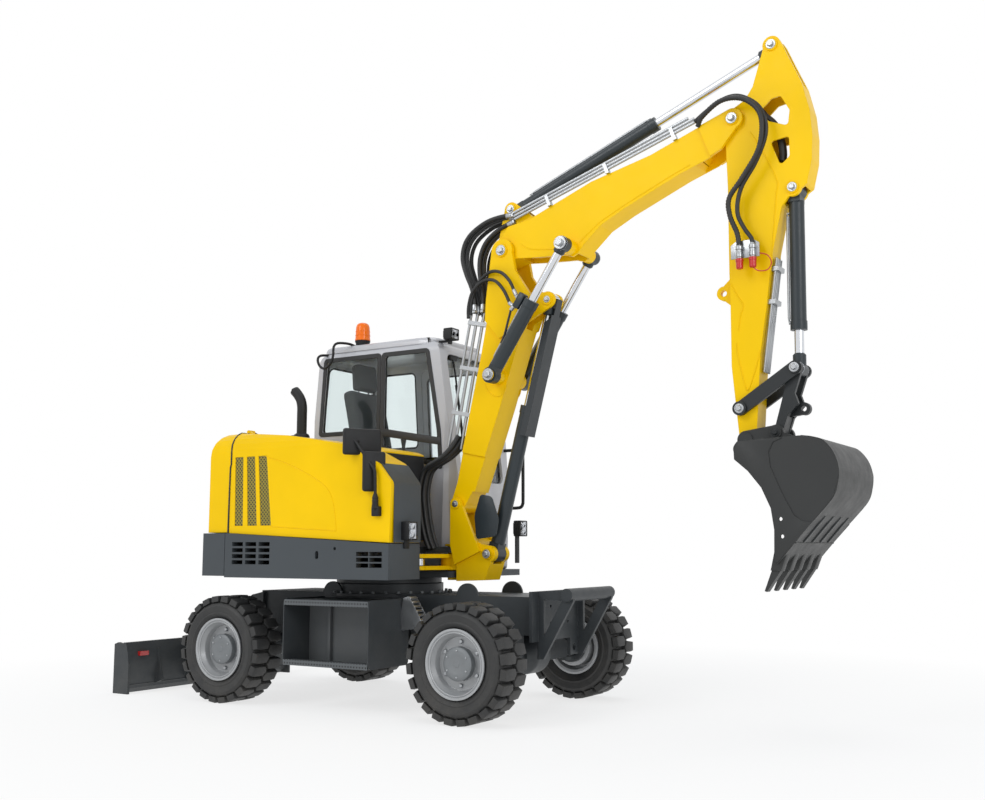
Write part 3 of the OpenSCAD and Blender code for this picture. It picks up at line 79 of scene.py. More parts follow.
def wire(tree, made, inputs):
    """The inputs of a shader node set to values, or linked where a socket is given."""
    for key, value in inputs.items():
        if isinstance(value, bpy.types.NodeSocket):
            tree.links.new(value, made.inputs[key])
        else:
            made.inputs[key].default_value = value
    return made


def add(tree, kind, inputs=None, **settings):
    """A shader node with its settings, and its inputs set or wired."""
    made = tree.nodes.new("ShaderNode" + kind)
    for key, value in settings.items():
        setattr(made, key, value)
    return wire(tree, made, inputs or {})


def noise(tree, place, scale, detail, roughness=0.5):
    """Cloudy noise over the given places."""
    return add(tree, "TexNoise", {"Vector": place, "Scale": scale, "Detail": detail,
                                  "Roughness": roughness}).outputs[0]


def remap(tree, value, low, high, to_low=0.0, to_high=1.0):
    """A value stretched from one range to another, and held inside it."""
    return add(tree, "MapRange", {"Value": value, "From Min": low, "From Max": high, "To Min": to_low,
                                  "To Max": to_high}).outputs[0]


def calc(tree, operation, first, second):
    """One sum with two values."""
    return add(tree, "Math", {0: first, 1: second}, operation=operation).outputs[0]


def mix_tones(tree, share, first, second):
    """Two colours mixed by a share of the second."""
    return add(tree, "Mix", {0: share, 6: first, 7: second}, data_type="RGBA").outputs[2]


def own_places(tree):
    """Places in the object's own coordinates."""
    return add(tree, "TexCoord").outputs["Object"]


def new_group(name, inputs, outputs):
    """An empty shader group with named sockets: its tree, its input sockets and its output node."""
    tree = bpy.data.node_groups.new(name, "ShaderNodeTree")
    for label, kind, value in inputs:
        socket = tree.interface.new_socket(label, in_out="INPUT", socket_type="NodeSocket" + kind)
        socket.default_value = value
    for label, kind in outputs:
        tree.interface.new_socket(label, in_out="OUTPUT", socket_type="NodeSocket" + kind)
    return tree, tree.nodes.new("NodeGroupInput").outputs, tree.nodes.new("NodeGroupOutput")


def soft_edge_group():
    """Rounded edges: a normal that turns over each edge, and a mask of the edges themselves."""
    tree, given, out = new_group("soft_edge", [("Radius", "Float", 0.004)],
                                 [("Normal", "Vector"), ("Edge", "Float")])
    flat = add(tree, "NewGeometry").outputs["Normal"]
    rounded = add(tree, "Bevel", {"Radius": given["Radius"]}, samples=4).outputs[0]
    match = add(tree, "VectorMath", {0: rounded, 1: flat}, operation="DOT_PRODUCT").outputs["Value"]
    wire(tree, out, {"Normal": rounded, "Edge": remap(tree, match, 0.995, 0.8)})
    return tree


def paint_film_group():
    """Sprayed paint: faint drifts of shade, a roughness that wanders, and orange peel."""
    tree, given, out = new_group(
        "paint_film",
        [("Colour", "Color", PLAIN_GREY), ("Roughness", "Float", 0.35), ("Peel", "Float", 0.05),
         ("Normal", "Vector", (0, 0, 0))],
        [("Colour", "Color"), ("Roughness", "Float"), ("Normal", "Vector")])
    place = own_places(tree)
    shade = remap(tree, noise(tree, place, 1.6, 4.0), 0.3, 0.7, 0.93, 1.04)
    tinted = add(tree, "VectorMath", {0: given["Colour"], "Scale": shade}, operation="SCALE")
    smear = remap(tree, noise(tree, place, 9.0, 5.0, 0.65), 0.3, 0.7, -0.06, 0.08)
    bump = add(tree, "Bump", {"Height": noise(tree, place, 220.0, 2.0), "Strength": given["Peel"],
                              "Distance": 0.002, "Normal": given["Normal"]})
    wire(tree, out, {"Colour": tinted.outputs[0], "Normal": bump.outputs[0],
                     "Roughness": calc(tree, "ADD", given["Roughness"], smear)})
    return tree


def road_dust_group():
    """Dry dust that thins out with height and gathers in patches."""
    tree, given, out = new_group(
        "road_dust",
        [("Colour", "Color", PLAIN_GREY), ("Roughness", "Float", 0.4), ("Amount", "Float", 0.3),
         ("Top", "Float", 1.0)],
        [("Colour", "Color"), ("Roughness", "Float")])
    place = own_places(tree)
    height = add(tree, "SeparateXYZ", {0: place}).outputs["Z"]
    low = remap(tree, height, given["Top"], 0.0)
    patches = remap(tree, noise(tree, place, 6.0, 8.0, 0.7), 0.35, 0.7)
    mask = calc(tree, "MULTIPLY", calc(tree, "MULTIPLY", low, patches), given["Amount"])
    rough = add(tree, "Mix", {0: mask, 2: given["Roughness"], 3: 0.9})
    wire(tree, out, {"Colour": mix_tones(tree, mask, given["Colour"], DRY_DUST),
                     "Roughness": rough.outputs[0]})
    return tree


def crossed_strands_group():
    """Two sets of strands crossing in the XZ plane: 1 on a strand, 0 in an opening."""
    tree, given, out = new_group("crossed_strands", [("Pitch", "Float", 0.01), ("Turn", "Float", 0.785),
                                                     ("Width", "Float", 0.6)], [("Strand", "Float")])
    leaning = add(tree, "VectorRotate", {"Vector": own_places(tree), "Angle": given["Turn"]},
                  rotation_type="Y_AXIS")
    flat = add(tree, "SeparateXYZ", {0: leaning.outputs[0]})
    lines = []
    for axis in ("X", "Z"):
        count = calc(tree, "DIVIDE", flat.outputs[axis], given["Pitch"])
        lines.append(calc(tree, "GREATER_THAN", calc(tree, "PINGPONG", count, 1.0), given["Width"]))
    wire(tree, out, {"Strand": calc(tree, "MAXIMUM", *lines)})
    return tree


PLAIN_GREY = (0.5, 0.5, 0.5, 1)
DRY_DUST, BARE_METAL = tone(158, 150, 138), tone(120, 118, 114)
soft_edge = soft_edge_group()
crossed_strands = crossed_strands_group()
paint_film = paint_film_group()
road_dust = road_dust_group()


def use(tree, group, inputs):
    """A shader group placed in a material with its own values: its output sockets."""
    return add(tree, "Group", inputs, node_tree=group).outputs


def blank(name):
    """A material with an empty Principled shader: its tree and the shader."""
    made = bpy.data.materials.new(name)
    made.use_nodes = True
    tree = made.node_tree
    return made, tree, tree.nodes["Principled BSDF"]


def painted(name, colour, roughness=0.35, coat=0.0, metallic=0.0, dust=0.15, top=1.2, peel=0.05, edge=0.004,
            worn=0.0, gloss=0.5):
    """Painted or cast metal, with rounded edges, orange peel, dust near the ground and wear on its edges."""
    made, tree, shader = blank(name)
    edges = use(tree, soft_edge, {"Radius": edge})
    base = colour
    if worn:
        chips = remap(tree, noise(tree, own_places(tree), 38.0, 6.0, 0.75), 0.5, 0.62)
        mask = calc(tree, "MULTIPLY", calc(tree, "MULTIPLY", edges["Edge"], chips), worn)
        base = mix_tones(tree, mask, colour, BARE_METAL)
    film = use(tree, paint_film, {"Colour": base, "Roughness": roughness, "Peel": peel,
                                  "Normal": edges["Normal"]})
    dusty = use(tree, road_dust, {"Colour": film["Colour"], "Roughness": film["Roughness"], "Amount": dust,
                                  "Top": top})
    wire(tree, shader, {"Base Color": dusty["Colour"], "Roughness": dusty["Roughness"],
                        "Normal": film["Normal"], "Metallic": metallic, "Coat Weight": coat,
                        "Coat Roughness": 0.12, "Specular IOR Level": gloss})
    return made


def clear_glass(name, colour, roughness=0.0):
    """Glass that lets light through, with a faint tint and a smeared film."""
    made, tree, shader = blank(name)
    smear = remap(tree, noise(tree, own_places(tree), 3.0, 6.0), 0.4, 0.8, roughness, roughness + 0.04)
    wire(tree, shader, {"Roughness": smear, "Base Color": colour, "Transmission Weight": 1.0, "IOR": 1.3})
    return made


yellow_paint = painted("yellow_paint", tone(250, 203, 0), 0.34, dust=0.04, top=1.0, gloss=0.14)
skirt_grey = painted("skirt_grey", tone(70, 75, 79), 0.42, dust=0.04, gloss=0.25)
frame_grey = painted("frame_grey", tone(54, 58, 61), 0.42, dust=0.08, top=1.0, worn=0.25, gloss=0.3)
step_grey = painted("step_grey", tone(92, 95, 97), 0.45, dust=0.1, gloss=0.3)
cylinder_grey = painted("cylinder_grey", tone(46, 53, 57), 0.34, dust=0.0, gloss=0.35)
link_black = painted("link_black", tone(40, 43, 45), 0.4, worn=0.3, dust=0.0, gloss=0.3)
cab_silver = painted("cab_silver", tone(186, 187, 192), 0.34, coat=0.3, metallic=0.15, dust=0.0)
rim_silver = painted("rim_silver", tone(166, 168, 170), 0.36, metallic=0.3, dust=0.1, top=0.9)
bucket_black = painted("bucket_black", tone(54, 55, 55), 0.46, worn=0.5, dust=0.04, gloss=0.25)
chrome = painted("chrome", tone(214, 217, 222), 0.12, metallic=1.0, peel=0.0, dust=0.0)
zinc = painted("zinc", tone(172, 175, 178), 0.32, metallic=0.9, peel=0.15, dust=0.05)
trim_black = painted("trim_black", tone(28, 29, 31), 0.5, peel=0.3, dust=0.03, gloss=0.3)
tyre_rubber = painted("tyre_rubber", tone(36, 37, 38), 0.58, peel=0.3, dust=0.1, top=0.9, edge=0.006)
hose_rubber = painted("hose_rubber", tone(26, 27, 28), 0.48, peel=0.3, dust=0.05)
window_glass = clear_glass("window_glass", (0.86, 0.91, 0.91, 1))
beacon_orange = painted("beacon_orange", tone(252, 118, 0), 0.2, coat=0.25, peel=0.0, dust=0.0, gloss=0.25)
reflector_silver = painted("reflector_silver", tone(226, 229, 233), 0.18, metallic=0.35, peel=0.0, dust=0.0)
lamp_glass = clear_glass("lamp_glass", (0.97, 0.98, 1.0, 1), 0.03)
cap_red = painted("cap_red", tone(196, 24, 22), 0.3, coat=0.4, dust=0.0)
hub_grey = painted("hub_grey", tone(120, 124, 127), 0.5, metallic=0.3, peel=0.4, dust=0.15, top=0.9)
gasket_rubber = painted("gasket_rubber", tone(22, 23, 24), 0.5, peel=0.15, dust=0.0)
lens_red = painted("lens_red", tone(168, 12, 14), 0.18, coat=0.8, peel=0.0, dust=0.05)
seat_cloth = painted("seat_cloth", tone(72, 75, 78), 0.85, peel=0.6, dust=0.0)


def mesh_finish(name, strand, opening_shade, pitch, turn, roughness=0.5, metallic=0.0, width=0.62):
    """Woven or punched sheet: strands that cross at the given pitch, with painted shade in the openings
    between them.
    """
    made, tree, shader = blank(name)
    weave = use(tree, crossed_strands, {"Pitch": pitch, "Turn": turn, "Width": width})["Strand"]
    bump = add(tree, "Bump", {"Height": weave, "Strength": 0.6, "Distance": 0.003})
    # The openings take the second colour: painted shade for the dark seen through the holes.
    wire(tree, shader, {"Base Color": mix_tones(tree, weave, opening_shade, strand), "Normal": bump.outputs[0],
                        "Roughness": roughness, "Metallic": metallic})
    return made


# Painted shade: the second colour of each fills the openings of the mesh.
mesh_olive = mesh_finish("mesh_olive", tone(150, 134, 38), tone(38, 36, 20), 0.011, math.radians(45))
punched_steel = mesh_finish("punched_steel", tone(84, 88, 91), tone(24, 25, 26), 0.013, 0.0, 0.42, 0.1, 0.45)


def coated(piece, finish):
    """The piece in one finish."""
    piece.data.materials.clear()
    piece.data.materials.append(finish)


FINISHES = {
    yellow_paint: ["boom_lower", "boom_upper", "stick", "king_post", "hood_right", "rear_hood"],
    skirt_grey: ["counterweight", "side_skirts"],
    frame_grey: ["chassis_frame", "front_frame", "side_steps", "rear_axle", "front_axle", "slew_ring",
                 "dozer_blade", "knuckle_left", "knuckle_right", "upper_frame", "engine_block", "rod_guard"],
    cylinder_grey: ["lift_barrel", "adjust_barrels", "stick_barrel", "bucket_barrel", "blade_barrels",
                    "swing_barrel"],
    zinc: ["lower_boom_lines", "upper_boom_lines", "stick_lines"],
    lens_red: ["blade_lamps"],
    chrome: ["lift_rod", "adjust_rods", "stick_rod", "bucket_rod", "blade_rods", "swing_rod"],
    link_black: ["rocker", "link"],
    bucket_black: ["bucket"],
    cab_silver: ["cab_frame", "cab_door"],
    trim_black: ["bulkhead", "console", "exhaust", "mirrors", "work_lamps", "grab_rails"],
    window_glass: ["cab_glass", "door_glass"],
    beacon_orange: ["beacon"],
    seat_cloth: ["seat"],
    tyre_rubber: [name for name in nodes if name.startswith("tyre")],
    rim_silver: [name for name in nodes if name.startswith("rim")],
}
for finish, names in FINISHES.items():
    for name in names:
        coated(nodes[name], finish)


# Shaping by hand

def fresh():
    """Object mode with nothing selected."""
    if bpy.context.object and bpy.context.object.mode != "OBJECT":
        bpy.ops.object.mode_set(mode="OBJECT")
    bpy.ops.object.select_all(action="DESELECT")


def grab(piece):
    """Only this piece selected and active."""
    fresh()
    piece.select_set(True)
    bpy.context.view_layer.objects.active = piece
    return piece


def settle(piece):
    """Its place, turn and scale moved into its mesh."""
    grab(piece)
    bpy.ops.object.transform_apply(location=True, rotation=True, scale=True)
    return piece


def open_mesh(piece):
    """Edit mode with all of the mesh selected."""
    grab(piece)
    bpy.ops.object.mode_set(mode="EDIT")
    bpy.ops.mesh.select_all(action="SELECT")


def close_mesh():
    """Back to object mode, with every face turned outwards."""
    bpy.ops.mesh.select_all(action="SELECT")
    bpy.ops.mesh.normals_make_consistent(inside=False)
    bpy.ops.object.mode_set(mode="OBJECT")
    return bpy.context.object


def pick_faces(piece, wanted):
    """In edit mode, only the faces whose middle and normal pass the test."""
    work = bmesh.from_edit_mesh(piece.data)
    for part in (*work.faces, *work.edges, *work.verts):
        part.select = False
    for face in work.faces:
        if wanted(face.calc_center_median() * 1000, face.normal):
            face.select_set(True)
    bmesh.update_edit_mesh(piece.data)


def pull(x=0, y=0, z=0):
    """The selection drawn out, in millimetres."""
    bpy.ops.mesh.extrude_region_move(TRANSFORM_OT_translate={"value": (x / 1000, y / 1000, z / 1000)})


def turned(outline, sides=40):
    """A turned piece along Z: a disc drawn out ring by ring through (height, radius) steps."""
    fresh()
    (height, radius), *rest = outline
    bpy.ops.mesh.primitive_circle_add(vertices=sides, radius=radius / 1000, fill_type="NGON",
                                      location=(0, 0, height / 1000))
    open_mesh(settle(bpy.context.object))
    for level, wide in rest:
        pull(z=level - height)
        if wide != radius:
            factor = wide / radius
            bpy.ops.transform.resize(value=(factor, factor, 1), center_override=(0, 0, level / 1000))
        height, radius = level, wide
    return close_mesh()


def block(size, round_off=3, steps=2):
    """A block round the origin with its edges taken off."""
    fresh()
    bpy.ops.mesh.primitive_cube_add(size=1)
    piece = bpy.context.object
    piece.scale = [length / 1000 for length in size]
    open_mesh(settle(piece))
    bpy.ops.mesh.bevel(offset=round_off / 1000, segments=steps, affect="EDGES")
    return close_mesh()


def outline_face(points, round_off=0, steps=4):
    """A flat face in XY through the points, left open in edit mode, with its corners rounded."""
    fresh()
    bpy.ops.mesh.primitive_circle_add(vertices=len(points), radius=1, fill_type="NGON")
    piece = bpy.context.object
    for vertex, (across, up) in zip(piece.data.vertices, points):
        vertex.co = (across / 1000, up / 1000, 0)
    open_mesh(piece)
    if round_off:
        bpy.ops.mesh.bevel(offset=round_off / 1000, segments=steps, affect="VERTICES")
        bpy.ops.mesh.select_all(action="SELECT")
    return piece


def plate(points, thick, round_off=0, edge=0):
    """A plate cut to the points, drawn out along Z."""
    piece = outline_face(points, round_off)
    pull(z=thick)
    bpy.ops.mesh.select_all(action="SELECT")
    bpy.ops.mesh.normals_make_consistent(inside=False)
    if edge:
        pick_faces(piece, lambda middle, normal: abs(normal.z) > 0.9)
        bpy.ops.mesh.region_to_loop()
        bpy.ops.mesh.bevel(offset=edge / 1000, segments=2, affect="EDGES")
    return close_mesh()


def frame_plate(points, wide, thick, round_off=30):
    """A plate cut to the points with a window cut out, leaving a border of even width."""
    outline_face(points, round_off)
    bpy.ops.mesh.inset(thickness=wide / 1000)
    bpy.ops.mesh.delete(type="FACE")
    bpy.ops.mesh.select_all(action="SELECT")
    pull(z=thick)
    return close_mesh()


def smooth_path(points, step):
    """Points at even steps along a smooth curve through the given ones, all in millimetres."""
    given = [Vector(point) for point in points]
    ends = [given[0] * 2 - given[1], *given, given[-1] * 2 - given[-2]]
    fine = []
    for a, b, c, d in zip(ends, ends[1:], ends[2:], ends[3:]):
        count = max(2, int((c - b).length / step))
        for k in range(count):
            t = k / count
            fine.append(0.5 * ((2 * b) + (c - a) * t + (2 * a - 5 * b + 4 * c - d) * t ** 2
                               + (3 * b - a - 3 * c + d) * t ** 3))
    return fine + [given[-1]]


def tube(points, radius, step=18, rib=0.0, bend=3):
    """A bar or hose of one radius along a smooth path; with rib, every other ring stands back."""
    fresh()
    bpy.ops.curve.primitive_bezier_curve_add()
    piece = bpy.context.object
    curve = piece.data
    curve.splines.clear()
    path = smooth_path(points, step)
    spline = curve.splines.new("POLY")
    spline.points.add(len(path) - 1)
    for k, (held, place) in enumerate(zip(spline.points, path)):
        held.co = (*(place / 1000), 1)
        held.radius = 1 - rib * (k % 2)
    curve.dimensions = "3D"
    curve.bevel_depth = radius / 1000
    curve.bevel_resolution = bend
    curve.use_fill_caps = True
    grab(piece)
    bpy.ops.object.convert(target="MESH")
    return bpy.context.object


def spun(section):
    """A ring: a section of (radius, width) places spun round the Y axis."""
    outline_face(section)
    bpy.ops.mesh.delete(type="ONLY_FACE")
    bpy.ops.mesh.select_all(action="SELECT")
    bpy.ops.mesh.spin(steps=RING_STEPS, angle=math.tau, center=(0, 0, 0), axis=(0, 1, 0))
    bpy.ops.mesh.select_all(action="SELECT")
    bpy.ops.mesh.remove_doubles(threshold=0.0002)
    return close_mesh()


def joined(*pieces):
    """The pieces made one."""
    grab(pieces[0])
    for piece in pieces[1:]:
        piece.select_set(True)
    bpy.ops.object.join()
    return bpy.context.object


def twin(piece):
    """A copy with its own mesh."""
    grab(piece)
    bpy.ops.object.duplicate(linked=False)
    return bpy.context.object


def moved(piece, offset, toward=(0, 0, 1)):
    """The piece turned so that its Z points the given way, then moved, and settled."""
    turn = Vector(toward).to_track_quat("Z", "Y").to_matrix().to_4x4()
    piece.matrix_world = Matrix.Translation(offset) @ turn
    return settle(piece)


def stood_up(piece, y, side=-1):
    """A plate drawn in XY stood on edge at y: X and Y become X and Z, and its thickness goes outwards."""
    piece.matrix_world = Matrix(((1, 0, 0, MIDDLE), (0, 0, side, y / 1000), (0, 1, 0, 0), (0, 0, 0, 1)))
    settle(piece)
    if side > 0:
        open_mesh(piece)
        close_mesh()
    return piece


def put(piece, place):
    """The piece moved to a place in millimetres, and settled."""
    piece.location = spot(*place)
    return settle(piece)


def slab(size, place, round_off=3, steps=2):
    """A block with its edges taken off, put in its place."""
    return put(block(size, round_off, steps), place)


def tilted(piece, place, degrees, axis="Y"):
    """The piece turned about one axis and moved to a place in millimetres, and settled."""
    piece.matrix_world = Matrix.Translation(spot(*place)) @ Matrix.Rotation(math.radians(degrees), 4, axis)
    return settle(piece)


def finished(piece, name, finish, soft):
    """The piece with its name, its finish and smooth faces."""
    piece.name = name
    piece.data.name = name
    coated(piece, finish)
    grab(piece)
    bpy.ops.object.shade_smooth_by_angle(angle=math.radians(soft))


def dressed(piece, name, finish, body, soft=35):
    """A finished piece that rides on one body."""
    finished(piece, name, finish, soft)
    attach(piece, body)
    return piece


# Places, in millimetres from the ground midway between the axles

FOOT, KNEE, NOSE, TIP = (535, 1511), (955.9, 3441.6), (2810.2, 4127.5), (2851.1, 1888)
LIFT_BASE, LIFT_EYE = (812, 1131), (1312.9, 3032.1)
ADJUST_BASE, ADJUST_EYE, ADJUST_Y = (920, 2464.6), (1537.8, 3390.3), 230
STICK_BASE, STICK_EYE = (1005.3, 3775.5), (3093.4, 4609.9)
BUCKET_BASE, ROCKER_PIN = (3206.3, 3576.9), (2809.2, 2102.3)
LINK_PIN, BUCKET_PIN = (3187.7, 2351.2), (3052.5, 1927.5)
WHEEL_X, WHEEL_Y, WHEEL_Z = 1090, 835, 405
HOOD_SIDE, HOOD_SEAM, ENGINE_BAY = 920, -1067, (-560, 1500)
CAB_RIGHT, WALL_LEAN, ROOF, BEACON = 40, 30, 2862, (-650, 190, 0)
MIRROR_Y, STACK_Y, RAIL_Y, SEAT_Y, CHOCK_Y = -952, -342, 890, 480, -516
STEP_EDGE, STEP_X, STEP_LONG = 950, -55, 784
SLEW_X, SLEW_RADIUS = -190, 492
FOOT_HOSE_Z, COUPLER_Y = 1816, -178

# Sizes in millimetres, turns in degrees, and counts

UPPER_BOOM_SIDE, LOWER_BOOM_SIDE, STICK_SIDE, WELD_BEAD = 103, 112, 85, 4.5
KNEE_HOSE, VALVE_HOSE, FITTING_LONG = 17, 13, 70
BUCKET_HALF, SOCKET_WIDE, SOCKET_EDGE, TEETH = 430, 86, 70, 5
LUGS, TREAD_RADIUS, RING_STEPS, WHEEL_NUTS = 24, 403.2, 72, 6
SLEW_BOLTS, CHOCK_SLATS, MIRROR_TURN, SEAL_RADIUS = 32, 7, 54.7, 9
SIDES = ((-1, "right"), (1, "left"))


def route(y, *points):
    """A path in one upright plane, from (x, z) places, in the frame's own millimetres."""
    return [(MIDDLE * 1000 + x, y, z) for x, z in points]


def way(*points):
    """A path through (x, y, z) places, in the frame's own millimetres."""
    return [(MIDDLE * 1000 + x, y, z) for x, y, z in points]


def outer_face(node, pin, side, reach=64):
    """Where a cross pin leaves the outer face of a node, in metres."""
    x, _, z = spot(pin[0], 0, pin[1])
    faces = [side * v.co.y for v in nodes[node].data.vertices
             if math.hypot(v.co.x - x, v.co.z - z) < reach / 1000]
    return Vector((x, side * max(faces), z))


# Pin ends

def pin_bolt():
    """A hex bolt on its washer, as it closes a pin."""
    washer = turned([(0, 33), (4, 33), (6, 31)], 36)
    head = turned([(5, 21), (19, 21), (23, 17)], 6)
    return joined(washer, head)


PIN_ENDS = [("king_post", "king", FOOT, 0.8), ("king_post", "king", LIFT_BASE, 1.0),
            ("boom_lower", "lower_boom", KNEE, 1.25), ("boom_lower", "lower_boom", ADJUST_BASE, 1.4),
            ("adjust_rods", "adjust_rod", ADJUST_EYE, 1.5), ("boom_upper", "upper_boom", STICK_BASE, 1.0),
            ("boom_upper", "upper_boom", NOSE, 1.2), ("stick", "stick", STICK_EYE, 1.05),
            ("stick", "stick", BUCKET_BASE, 1.0), ("stick", "stick", ROCKER_PIN, 1.0),
            ("rocker", "rocker", LINK_PIN, 1.0), ("bucket", "bucket", BUCKET_PIN, 0.9),
            ("boom_lower", "lower_boom", LIFT_EYE, 0.8)]


def pin_ends():
    """A bolt on both ends of every main pin of the arm, sunk a little into the face round it."""
    pattern = pin_bolt()
    sunk = 0.001
    for count, (node, body, pin, size) in enumerate(PIN_ENDS):
        finish, reach = (link_black, 48) if node == "bucket" else (zinc, 64)
        for side, word in SIDES:
            bolt = twin(pattern)
            bolt.scale = (size, size, size)
            place = outer_face(node, pin, side, reach) - Vector((0, side * sunk, 0))
            moved(settle(bolt), place, (0, side, 0))
            dressed(bolt, f"pin_bolt_{count}_{word}", finish, body)
    bpy.data.objects.remove(pattern)


def rocker_caps():
    """Black caps over the ends of the rocker's pin in the stick."""
    for side, word in SIDES:
        cap = turned([(-14, 47), (0.5, 47), (2, 45)], 48)
        moved(cap, outer_face("stick", ROCKER_PIN, side), (0, side, 0))
        dressed(cap, f"rocker_cap_{word}", link_black, "rocker")


# Wheels

def tyre_lug():
    """One tread block in unrolled places: X round the tyre, Y from the middle to the shoulder, Z outwards."""
    lug = outline_face([(0, -9), (40, 17), (42, 100), (36, 140), (-36, 140), (-42, 100), (-40, 17)])
    pull(z=-44)
    bpy.ops.mesh.select_all(action="SELECT")
    bpy.ops.mesh.normals_make_consistent(inside=False)
    pick_faces(lug, lambda middle, normal: normal.z > 0.9)
    bpy.ops.transform.resize(value=(0.93, 0.95, 1), center_override=(0, 0.06, 0))
    pick_faces(lug, lambda middle, normal: normal.z > 0.9)
    bpy.ops.mesh.region_to_loop()
    bpy.ops.mesh.bevel(offset=0.004, segments=2, affect="EDGES")
    return close_mesh()


def tyre_ring():
    """The carcass: one half section spun round the axle, with ribs on its sidewalls."""
    half = [(222, 108), (248, 132), (262, 141), (268, 146), (274, 146), (280, 142), (318, 148), (326, 149),
            (332, 145), (344, 138), (356, 124), (366, 90), (368, 40), (368, 0)]
    return spun(half + [(r, -w) for r, w in reversed(half[:-1])])


def tyre_pattern():
    """A tyre with its two rows of staggered tread blocks, round the Y axis."""
    lug = tyre_lug()
    rows = []
    for row, stagger in ((1, 0), (-1, 0.5)):
        for k in range(LUGS):
            angle = math.tau * (k + stagger) / LUGS
            piece = twin(lug)
            flip = Matrix.Diagonal((row, row, 1, 1))
            out = Matrix.Translation((0, 0, TREAD_RADIUS / 1000))
            piece.matrix_world = Matrix.Rotation(angle, 4, "Y") @ out @ flip
            rows.append(settle(piece))
    bpy.data.objects.remove(lug)
    return joined(tyre_ring(), *rows)


def wheel_nuts():
    """Nuts on the rim's disc and small screws on the hub, outwards along Z from the wheel's middle."""
    rim_nut, hub_screw = [(49, 15), (64, 15), (67, 12)], [(111, 7), (117, 7), (119, 5)]
    nuts = []
    for reach, outline in ((146, rim_nut), (88, hub_screw)):
        for k in range(WHEEL_NUTS):
            nut = turned(outline, 6)
            angle = math.tau * (k + 0.5) / WHEEL_NUTS
            nut.location = (reach * math.cos(angle) / 1000, reach * math.sin(angle) / 1000, 0)
            nuts.append(settle(nut))
    return joined(*nuts)


def hub_cover():
    """The planetary hub's round cover, outwards along Z from the wheel's middle."""
    return turned([(60, 113.5), (104, 113.5), (108, 110), (112.5, 96), (113.5, 94), (113.5, 60), (112.5, 58),
                   (112.5, 22), (115, 20), (115, 8)], 64)


def rim_lip():
    """The rim's two raised rings, round the Y axis, at its outer edge."""
    ring = spun([(234, 128), (234, 139), (229, 141), (224, 139), (222, 134), (214, 133), (211, 137),
                 (206, 138), (202, 134), (200, 128)])
    return moved(ring, (0, 0, 0), (0, -1, 0))


def wheels():
    """Tyres with their tread, hub covers and nuts on the four wheels."""
    tyre, nuts, cover, lip = tyre_pattern(), wheel_nuts(), hub_cover(), rim_lip()
    for end, x in (("front", WHEEL_X), ("rear", -WHEEL_X)):
        for word, side in (("left", 1), ("right", -1)):
            body = f"wheel_{end}_{word}"
            middle = spot(x, side * WHEEL_Y, WHEEL_Z)
            rubber = twin(tyre)
            rubber.location = middle
            dressed(settle(rubber), f"tread_{end}_{word}", tyre_rubber, body, 30)
            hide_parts(f"tyre_{end}_{word}")
            for pattern, name, finish in ((nuts, "wheel_nuts", zinc), (cover, "hub_cover", hub_grey),
                                          (lip, "rim_lip", rim_silver)):
                piece = moved(twin(pattern), middle, (0, side, 0))
                dressed(piece, f"{name}_{end}_{word}", finish, body)
    for pattern in (tyre, nuts, cover, lip):
        bpy.data.objects.remove(pattern)


# Upper carriage

def grille_mesh():
    """Woven mesh set into the three leaning bands of the hood's side."""
    top, foot, wide, pitch, slant, sunk = 1878, 1347, 83, 122, 12, 6.2
    for i in range(3):
        x = HOOD_SEAM + 50 + pitch * i
        band = plate([(x + 2, top), (x + wide, top), (x + wide + slant * (1 + 2 * i), foot),
                      (x + 2 + slant * (1 + i), foot)], 2.5)
        dressed(stood_up(band, -HOOD_SIDE + sunk), f"grille_mesh_{i}", mesh_olive, "upper")


def hood_crease():
    """The pressed line that runs over the hood's side and down to the skirt."""
    over = route(-HOOD_SIDE, (-695, 1872), (-500, 1818), (-300, 1738), (-150, 1662), (-72, 1600), (-28, 1520),
                 (0, 1400), (11, 1300))
    foot = route(-HOOD_SIDE, (11, 1300), (-300, 1318), (-640, 1338))
    creases = [tube(line, 3.6, 30) for line in (over, foot)]
    dressed(joined(*creases), "hood_crease", yellow_paint, "upper")


def hood_skin(x, angle):
    """A place on the hood's skin in the plane at x, seen at an angle from inside the engine bay."""
    middle = spot(x, *ENGINE_BAY)
    out = Vector((0, -math.cos(math.radians(angle)), math.sin(math.radians(angle))))
    found, place = nodes["hood_right"].ray_cast(middle + out * 2, -out)[:2]
    return tuple(place * 1000) if found else None


def hood_seam():
    """The black seal in the seam between the hood and the tail hood."""
    side = way((-1072, -921, 1296), (-1068, -921, 1600), (-1064, -921, 1800))
    over = [hood_skin(HOOD_SEAM + 10, angle) for angle in range(42, 128, 6)]
    seam = tube(side + [place for place in over if place], 7, 24)
    dressed(seam, "hood_seam", gasket_rubber, "upper")


def front_panels():
    """The slate panel over the hood's nose, and the black walls of the bay beside the swing post."""
    nose = plate([(509.5, 1214), (513, 1214), (513, 1623), (502, 1654), (394, 1784), (391, 1780), (499, 1650),
                  (509.5, 1622)], 326)
    dressed(stood_up(nose, -562), "nose_panel", skirt_grey, "upper")
    cheek = plate([(152, 1214), (509, 1214), (509, 1622), (498, 1650), (391, 1777), (350, 1802),
                   (152, 1896)], 4)
    dressed(stood_up(cheek, -560.5, 1), "bay_cheek", trim_black, "upper")
    wall = slab((4, 540, 664), (151, -288, 1564), 1.5, 1)
    dressed(wall, "bay_wall", trim_black, "upper")


